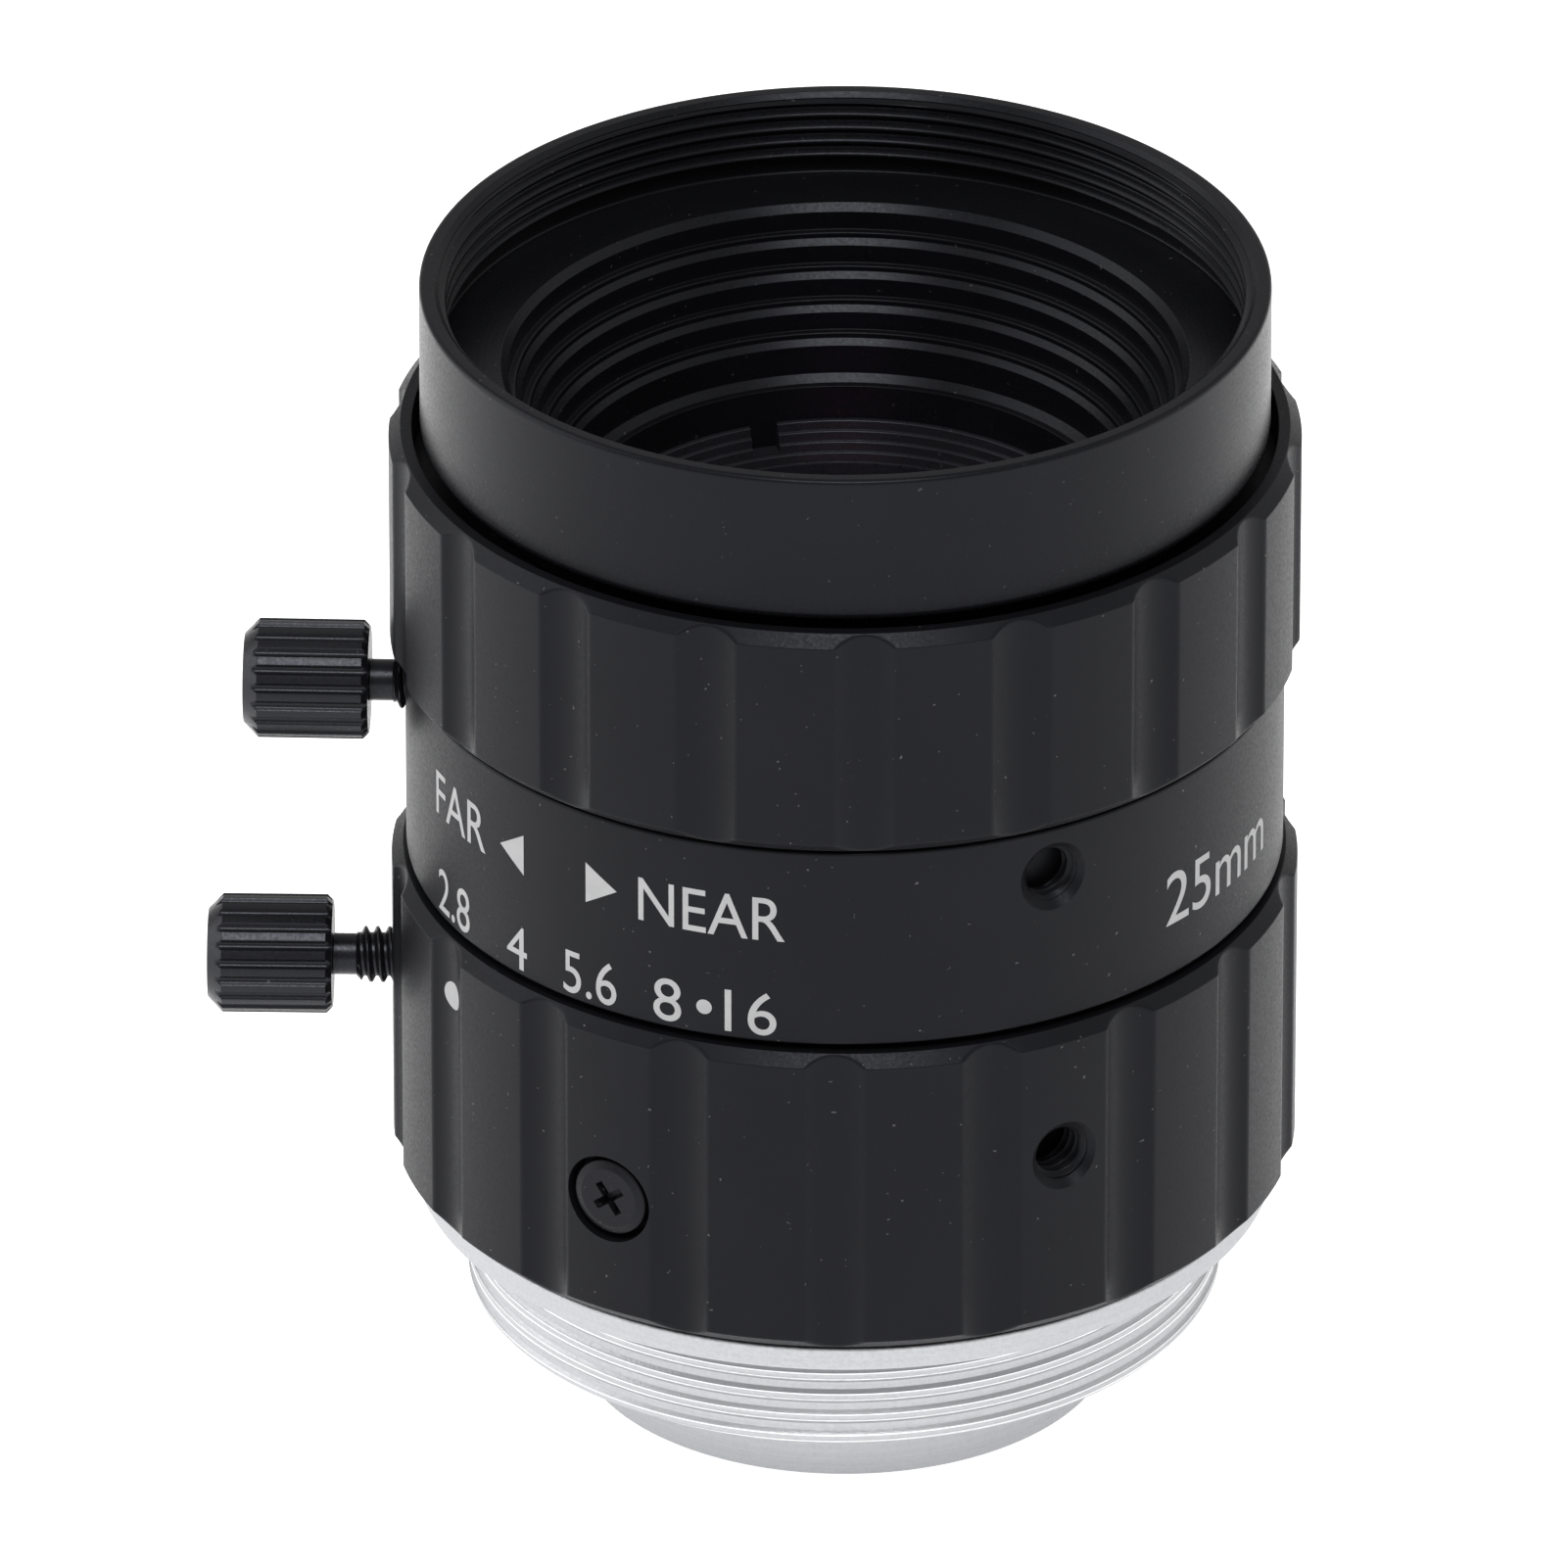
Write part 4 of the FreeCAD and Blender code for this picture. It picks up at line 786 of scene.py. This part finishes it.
def crossPlug(size, top):
    # a plus-shaped cutter that narrows with depth
    arm = size["armLength"] / 2
    half = size["armW"] / 2
    outline = []
    for quarter in range(4):
        turnBy = Matrix.Rotation(fullTurn / 4 * quarter, 2)
        outline += [turnBy @ Vector(point) for point in ((half, -arm), (half, -half), (arm, -half))]
    bm = bmesh.new()
    bm.faces.new([bm.verts.new((x, y, top + size["recessDepth"])) for x, y in outline])
    made = bmesh.ops.extrude_face_region(bm, geom=bm.faces[:])
    lower = [item for item in made["geom"] if isinstance(item, bmesh.types.BMVert)]
    bmesh.ops.translate(bm, vec=(0, 0, -size["recessDepth"] * 2), verts=lower)
    bmesh.ops.scale(bm, vec=(size["taper"], size["taper"], 1), verts=lower)
    bmesh.ops.recalc_face_normals(bm, faces=bm.faces)
    return bm


def buildDriveScrew(size, ring):
    length = size["floorR"] - size["tipR"]
    top = length + size["headT"]
    corners = [
        (0, 0),
        (size["pinR"], 0, size["pinFillet"]),
        (size["pinR"], length),
        (size["headR"], length, size["seatFillet"]),
        (size["headR"], top - size["crownDrop"], size["sideFillet"]),
        (size["headR"] - size["crownW"], top, size["crownFillet"]),
        (0, top),
    ]
    bm = bmesh.new()
    spinLine(bm, roundedLine(corners), size["steps"])
    bm = subtract(bm, [crossPlug(size, top)])
    place = radialPlace(ring["driveAzimuth"], size["tipR"], ring["driveZ"], size["turn"])
    return finishPiece(bm, "iris_drive_screw_skin", screwSteel, "iris_ring",
                       ["iris_drive_screw"], place)


buildDriveScrew(driveScrew, irisRing)
print("screws built")


# The mount ring with its thread.

mountRing = {
    "steps": 360, "tipZ": -7.2, "sleeveR": 9.1, "boreR": 8.5, "boreJoint": -6.2, "threadZ": -3.8,
    "threadRootR": 12.61, "flangeR": 14.5, "flangeT": 0.85, "spigotR": 12.2, "spigotTop": 3.6,
    "pocketR": 11.5, "pocketZ": -1.6, "edge": 0.12, "boreFillet": 0.1, "tipFillet": 0.2, "fine": 0.05,
}
# 32 threads to the inch
mountThread = dict(plainThread, steps=360, pitch=25.4 / 32, crestFlat=0.26, rootFlat=0.2, crestR=12.7,
                   rootR=12.59, buriedR=12.21, bottom=-3.802, top=-0.35, bottomLead=0.5, topLead=0.05,
                   shift=-0.44, roundness=0, burr=0.018, burrWidth=0.06)


def buildMountRing(size, thread):
    edge = size["edge"]
    fine = size["fine"]
    corners = [
        (size["boreR"], size["tipZ"], size["boreFillet"]),
        (size["sleeveR"], size["tipZ"], size["tipFillet"]),
        (size["sleeveR"], size["threadZ"], fine),
        (size["threadRootR"], size["threadZ"], fine),
        (size["threadRootR"], 0, fine),
        (size["flangeR"], 0, edge),
        (size["flangeR"], size["flangeT"], edge),
        (size["spigotR"], size["flangeT"]),
        (size["spigotR"], size["spigotTop"]),
        (size["pocketR"], size["spigotTop"]),
        (size["pocketR"], size["pocketZ"]),
        (size["boreR"], size["pocketZ"]),
        (size["boreR"], size["boreJoint"]),
    ]
    bm = turned(corners, size["steps"])
    addMesh(bm, threadSleeve(thread))
    return finishPiece(bm, "mount_ring_skin", mountSilver, "housing", ["mount_ring"])


buildMountRing(mountRing, mountThread)
print("mount ring built")


# The white marks.

markLook = {"lift": 0.012, "depth": 0.05, "slice": 0.3, "dotSteps": 40}


def bendOnto(bm, look, surfaceR, azimuth, height):
    # slices a flat mark upright, then wraps it round the barrel
    low = min(vert.co.x for vert in bm.verts)
    high = max(vert.co.x for vert in bm.verts)
    at = low + look["slice"]
    while at < high:
        bmesh.ops.bisect_plane(bm, geom=bm.verts[:] + bm.edges[:] + bm.faces[:], dist=cutTolerance,
                               plane_co=(at, 0, 0), plane_no=(1, 0, 0))
        at += look["slice"]
    for vert in bm.verts:
        angle = toRadians(azimuth) + vert.co.x / surfaceR
        radius = surfaceR + look["lift"] + vert.co.z
        vert.co = Vector((radius * math.cos(angle), radius * math.sin(angle), height + vert.co.y))


def textMesh(words, width, tall, look):
    curve = bpy.data.curves.new("words", "FONT")
    curve.body = words
    curve.size = 1
    holder = bpy.data.objects.new("words", curve)
    bpy.context.scene.collection.objects.link(holder)
    bpy.context.view_layer.update()
    mesh = bpy.data.meshes.new_from_object(holder.evaluated_get(bpy.context.evaluated_depsgraph_get()))
    bm = bmesh.new()
    bm.from_mesh(mesh)
    bpy.data.objects.remove(holder)
    bpy.data.curves.remove(curve)
    bpy.data.meshes.remove(mesh)
    xs = [vert.co.x for vert in bm.verts]
    ys = [vert.co.y for vert in bm.verts]
    middle = Vector(((min(xs) + max(xs)) / 2, (min(ys) + max(ys)) / 2, 0))
    bmesh.ops.translate(bm, vec=-middle, verts=bm.verts)
    fit = (width / (max(xs) - min(xs)), tall / (max(ys) - min(ys)), 1)
    bmesh.ops.scale(bm, vec=fit, verts=bm.verts)
    thickenSheet(bm, look)
    return bm


def thickenSheet(bm, look):
    # gives a flat outline a thin body that reaches into the surface
    bmesh.ops.remove_doubles(bm, verts=bm.verts, dist=cutTolerance)
    made = bmesh.ops.extrude_face_region(bm, geom=bm.faces[:])
    lower = [item for item in made["geom"] if isinstance(item, bmesh.types.BMVert)]
    bmesh.ops.translate(bm, vec=(0, 0, -look["depth"]), verts=lower)
    bmesh.ops.recalc_face_normals(bm, faces=bm.faces)


def outlineMesh(points, look):
    bm = bmesh.new()
    bm.faces.new([bm.verts.new((x, y, 0)) for x, y in points])
    thickenSheet(bm, look)
    return bm


def dotMesh(radius, look):
    bm = bmesh.new()
    bmesh.ops.create_circle(bm, cap_ends=True, segments=look["dotSteps"], radius=radius)
    thickenSheet(bm, look)
    return bm


def arcLength(fromAzimuth, toAzimuth, surfaceR):
    return math.radians(toAzimuth - fromAzimuth) * surfaceR


barrelMarks = {
    "surfaceR": 14.7,
    "distanceZ": 17.2, "distanceTall": 1.6,
    "words": [("FAR", -60.8, 3.4), ("NEAR", -17.65, 5.1)],
    "arrows": [(-50.9, -46.3), (-30.8, -35.6)],
    "arrowTall": 1.5,
    "apertureZ": 13.6, "apertureTall": 1.6,
    "numbers": [("2.8", -62.4, 2.25), ("4", -47.7, 0.98), ("5.6", -35.1, 2.15), ("8", -23.5, 1.0),
                ("16", -12.2, 1.75)],
    "stopDot": (-18.4, 0.27),
    "focal": ("25mm", 59.0, 6.4), "focalTall": 1.95, "focalZ": 15.45,
}


def buildBarrelMarks(size, look):
    surfaceR = size["surfaceR"]
    distance = bmesh.new()
    for words, azimuth, width in size["words"]:
        part = textMesh(words, width, size["distanceTall"], look)
        bendOnto(part, look, surfaceR, azimuth, size["distanceZ"])
        addMesh(distance, part)
    for tip, base in size["arrows"]:
        length = arcLength(tip, base, surfaceR)
        half = size["arrowTall"] / 2
        part = outlineMesh([(-length / 2, 0), (length / 2, -half), (length / 2, half)], look)
        bendOnto(part, look, surfaceR, (tip + base) / 2, size["distanceZ"])
        addMesh(distance, part)
    bmesh.ops.recalc_face_normals(distance, faces=distance.faces)
    finishPiece(distance, "distance_marks", markingWhite, "housing")
    aperture = bmesh.new()
    for words, azimuth, width in size["numbers"]:
        part = textMesh(words, width, size["apertureTall"], look)
        bendOnto(part, look, surfaceR, azimuth, size["apertureZ"])
        addMesh(aperture, part)
    azimuth, radius = size["stopDot"]
    part = dotMesh(radius, look)
    bendOnto(part, look, surfaceR, azimuth, size["apertureZ"])
    addMesh(aperture, part)
    bmesh.ops.recalc_face_normals(aperture, faces=aperture.faces)
    finishPiece(aperture, "aperture_marks", markingWhite, "housing")
    words, azimuth, width = size["focal"]
    part = textMesh(words, width, size["focalTall"], look)
    bendOnto(part, look, surfaceR, azimuth, size["focalZ"])
    finishPiece(part, "focal_length_mark", markingWhite, "housing")


buildBarrelMarks(barrelMarks, markLook)

indexDot = {"azimuth": -61.3, "height": 10.18, "radius": 0.5, "rings": 5, "steps": 48}


def buildIndexDot(size, look, flutes):
    # a disc of paint that follows the hollow floor of the flute it lies in
    bm = bmesh.new()
    rings = size["rings"]
    spinLine(bm, [(size["radius"] * ring / rings, 0) for ring in range(rings + 1)], size["steps"])
    thickenSheet(bm, look)
    middle = toRadians(size["azimuth"])
    spacing = 360 / flutes["count"]
    nearest = round((size["azimuth"] - flutes["phase"]) / spacing)
    flute = toRadians(flutes["phase"] + spacing * nearest)
    for vert in bm.verts:
        angle = middle + vert.co.x / flutes["outerR"]
        radius = grooveFloor(flutes, angle - flute) + look["lift"] + vert.co.z
        height = size["height"] + vert.co.y
        vert.co = Vector((radius * math.cos(angle), radius * math.sin(angle), height))
    bmesh.ops.recalc_face_normals(bm, faces=bm.faces)
    finishPiece(bm, "index_dot", markingWhite, "iris_ring")


buildIndexDot(indexDot, markLook, fluteSettings(gripRing, irisRing))
print("marks built")


# Smooth copies of the other pieces that can be seen, and finishes for the rest.

smoothCopies = {
    "rear_barrel": ("housing", barrelBlack, "black_barrel"),
    "focus_retainer": ("focus_ring", barrelBlack, "black_barrel"),
    "lens_barrel": ("lens_block", barrelBlack, "black_barrel"),
    "rear_cell": ("lens_block", barrelBlack, "black_barrel"),
    "rear_retaining_ring": ("lens_block", frontBlack, "black_front"),
    "rear_element": ("lens_block", coatedGlass, "coated_glass"),
    "front_cell": ("lens_block", barrelBlack, "black_barrel"),
    "front_doublet_crown": ("lens_block", clearGlass, "clear_glass"),
    "front_doublet_flint": ("lens_block", clearGlass, "clear_glass"),
    "rear_doublet_flint": ("lens_block", clearGlass, "clear_glass"),
    "rear_doublet_crown": ("lens_block", clearGlass, "clear_glass"),
}
copySharpAngle = 25
for node, (body, material, slot) in smoothCopies.items():
    bm = bmesh.new()
    bm.from_mesh(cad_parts[node].data)
    bmesh.ops.remove_doubles(bm, verts=bm.verts, dist=weldDistance * mm)
    bmesh.ops.scale(bm, vec=(1 / mm, 1 / mm, 1 / mm), verts=bm.verts)
    finishPiece(bm, node + "_skin", material, body, [node], sharpAngle=copySharpAngle)

otherFinishes = {
    "mount_set_screws": screwSteel, "guide_screw": screwSteel, "rear_doublet_ring": frontBlack,
    "iris_case": barrelBlack, "iris_cover": barrelBlack, "iris_cam_ring": screwSteel,
}
for number in range(1, 7):
    otherFinishes[f"iris_blade_{number}"] = irisFoil
for node, material in otherFinishes.items():
    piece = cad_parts[node]
    piece.data.materials.clear()
    piece.data.materials.append(material)
print("other pieces finished")


# The floor, lights and camera. Places and sizes here are in metres, apart from floorZ.

stageLook = {
    "floorZ": -7.2, "floorSize": 4.0, "floorColour": (0.86, 0.86, 0.86, 1), "worldColour": (1, 1, 1, 1),
    "worldStrength": 0.5, "glow": 0.85, "paperScale": 6, "smoothest": 0.7, "roughest": 0.8,
}


def buildStage(look):
    bm = bmesh.new()
    bmesh.ops.create_grid(bm, x_segments=1, y_segments=1, size=look["floorSize"] / 2)
    bmesh.ops.translate(bm, vec=(0, 0, look["floorZ"] * mm), verts=bm.verts)
    mesh = bpy.data.meshes.new("floor")
    bm.to_mesh(mesh)
    bm.free()
    material, nodes, links, shader, place = newMaterial("paperWhite")
    tone = noiseAt(nodes, links, place.outputs["Object"], look["paperScale"])
    gloss = rangeOf(nodes, links, tone, 0, 1, look["smoothest"], look["roughest"])
    links.new(gloss, shader.inputs["Roughness"])
    shader.inputs["Base Color"].default_value = look["floorColour"]
    shader.inputs["Emission Color"].default_value = look["floorColour"]
    shader.inputs["Emission Strength"].default_value = look["glow"]
    mesh.materials.append(material)
    floor = bpy.data.objects.new("floor", mesh)
    bpy.context.scene.collection.objects.link(floor)
    world = bpy.data.worlds.new("studio")
    world.use_nodes = True
    background = world.node_tree.nodes["Background"]
    background.inputs["Color"].default_value = look["worldColour"]
    background.inputs["Strength"].default_value = look["worldStrength"]
    bpy.context.scene.world = world


buildStage(stageLook)

lamps = {
    "leftBox": {"at": (-0.5, 0.05, 0.25), "size": (0.5, 0.6), "power": 1.8},
    "rightBox": {"at": (0.5, 0.05, 0.25), "size": (0.5, 0.6), "power": 0.5},
    "topBox": {"at": (0.0, -0.33, 0.57), "size": (0.3, 0.25), "power": 2.4},
}
aimPoint = Vector((0, 0, 0.012))
for name, lamp in lamps.items():
    light = bpy.data.lights.new(name, "AREA")
    light.shape = "RECTANGLE"
    light.size, light.size_y = lamp["size"]
    light.energy = lamp["power"]
    holder = bpy.data.objects.new(name, light)
    bpy.context.scene.collection.objects.link(holder)
    holder.location = lamp["at"]
    holder.rotation_euler = (aimPoint - Vector(lamp["at"])).to_track_quat("-Z", "Y").to_euler()

cameraSet = {
    "distance": 0.9, "elevation": 29.637, "pitch": 28.838, "yaw": -0.149, "lens": 611.9, "sensor": 36.0,
    "clipNear": 0.05, "clipFar": 20,
}


def buildCamera(size):
    camera = bpy.data.cameras.new("camera")
    camera.sensor_fit = "HORIZONTAL"
    camera.sensor_width = size["sensor"]
    camera.lens = size["lens"]
    camera.clip_start = size["clipNear"]
    camera.clip_end = size["clipFar"]
    holder = bpy.data.objects.new("camera", camera)
    bpy.context.scene.collection.objects.link(holder)
    rise = math.radians(size["elevation"])
    holder.location = size["distance"] * Vector((0, -math.cos(rise), math.sin(rise)))
    pitch = math.radians(size["pitch"])
    yaw = math.radians(size["yaw"])
    level = math.cos(pitch)
    look = Vector((math.sin(yaw) * level, math.cos(yaw) * level, -math.sin(pitch)))
    holder.rotation_euler = look.to_track_quat("-Z", "Y").to_euler()
    bpy.context.scene.camera = holder


buildCamera(cameraSet)
bpy.context.scene.view_settings.view_transform = "Standard"
print("stage ready")
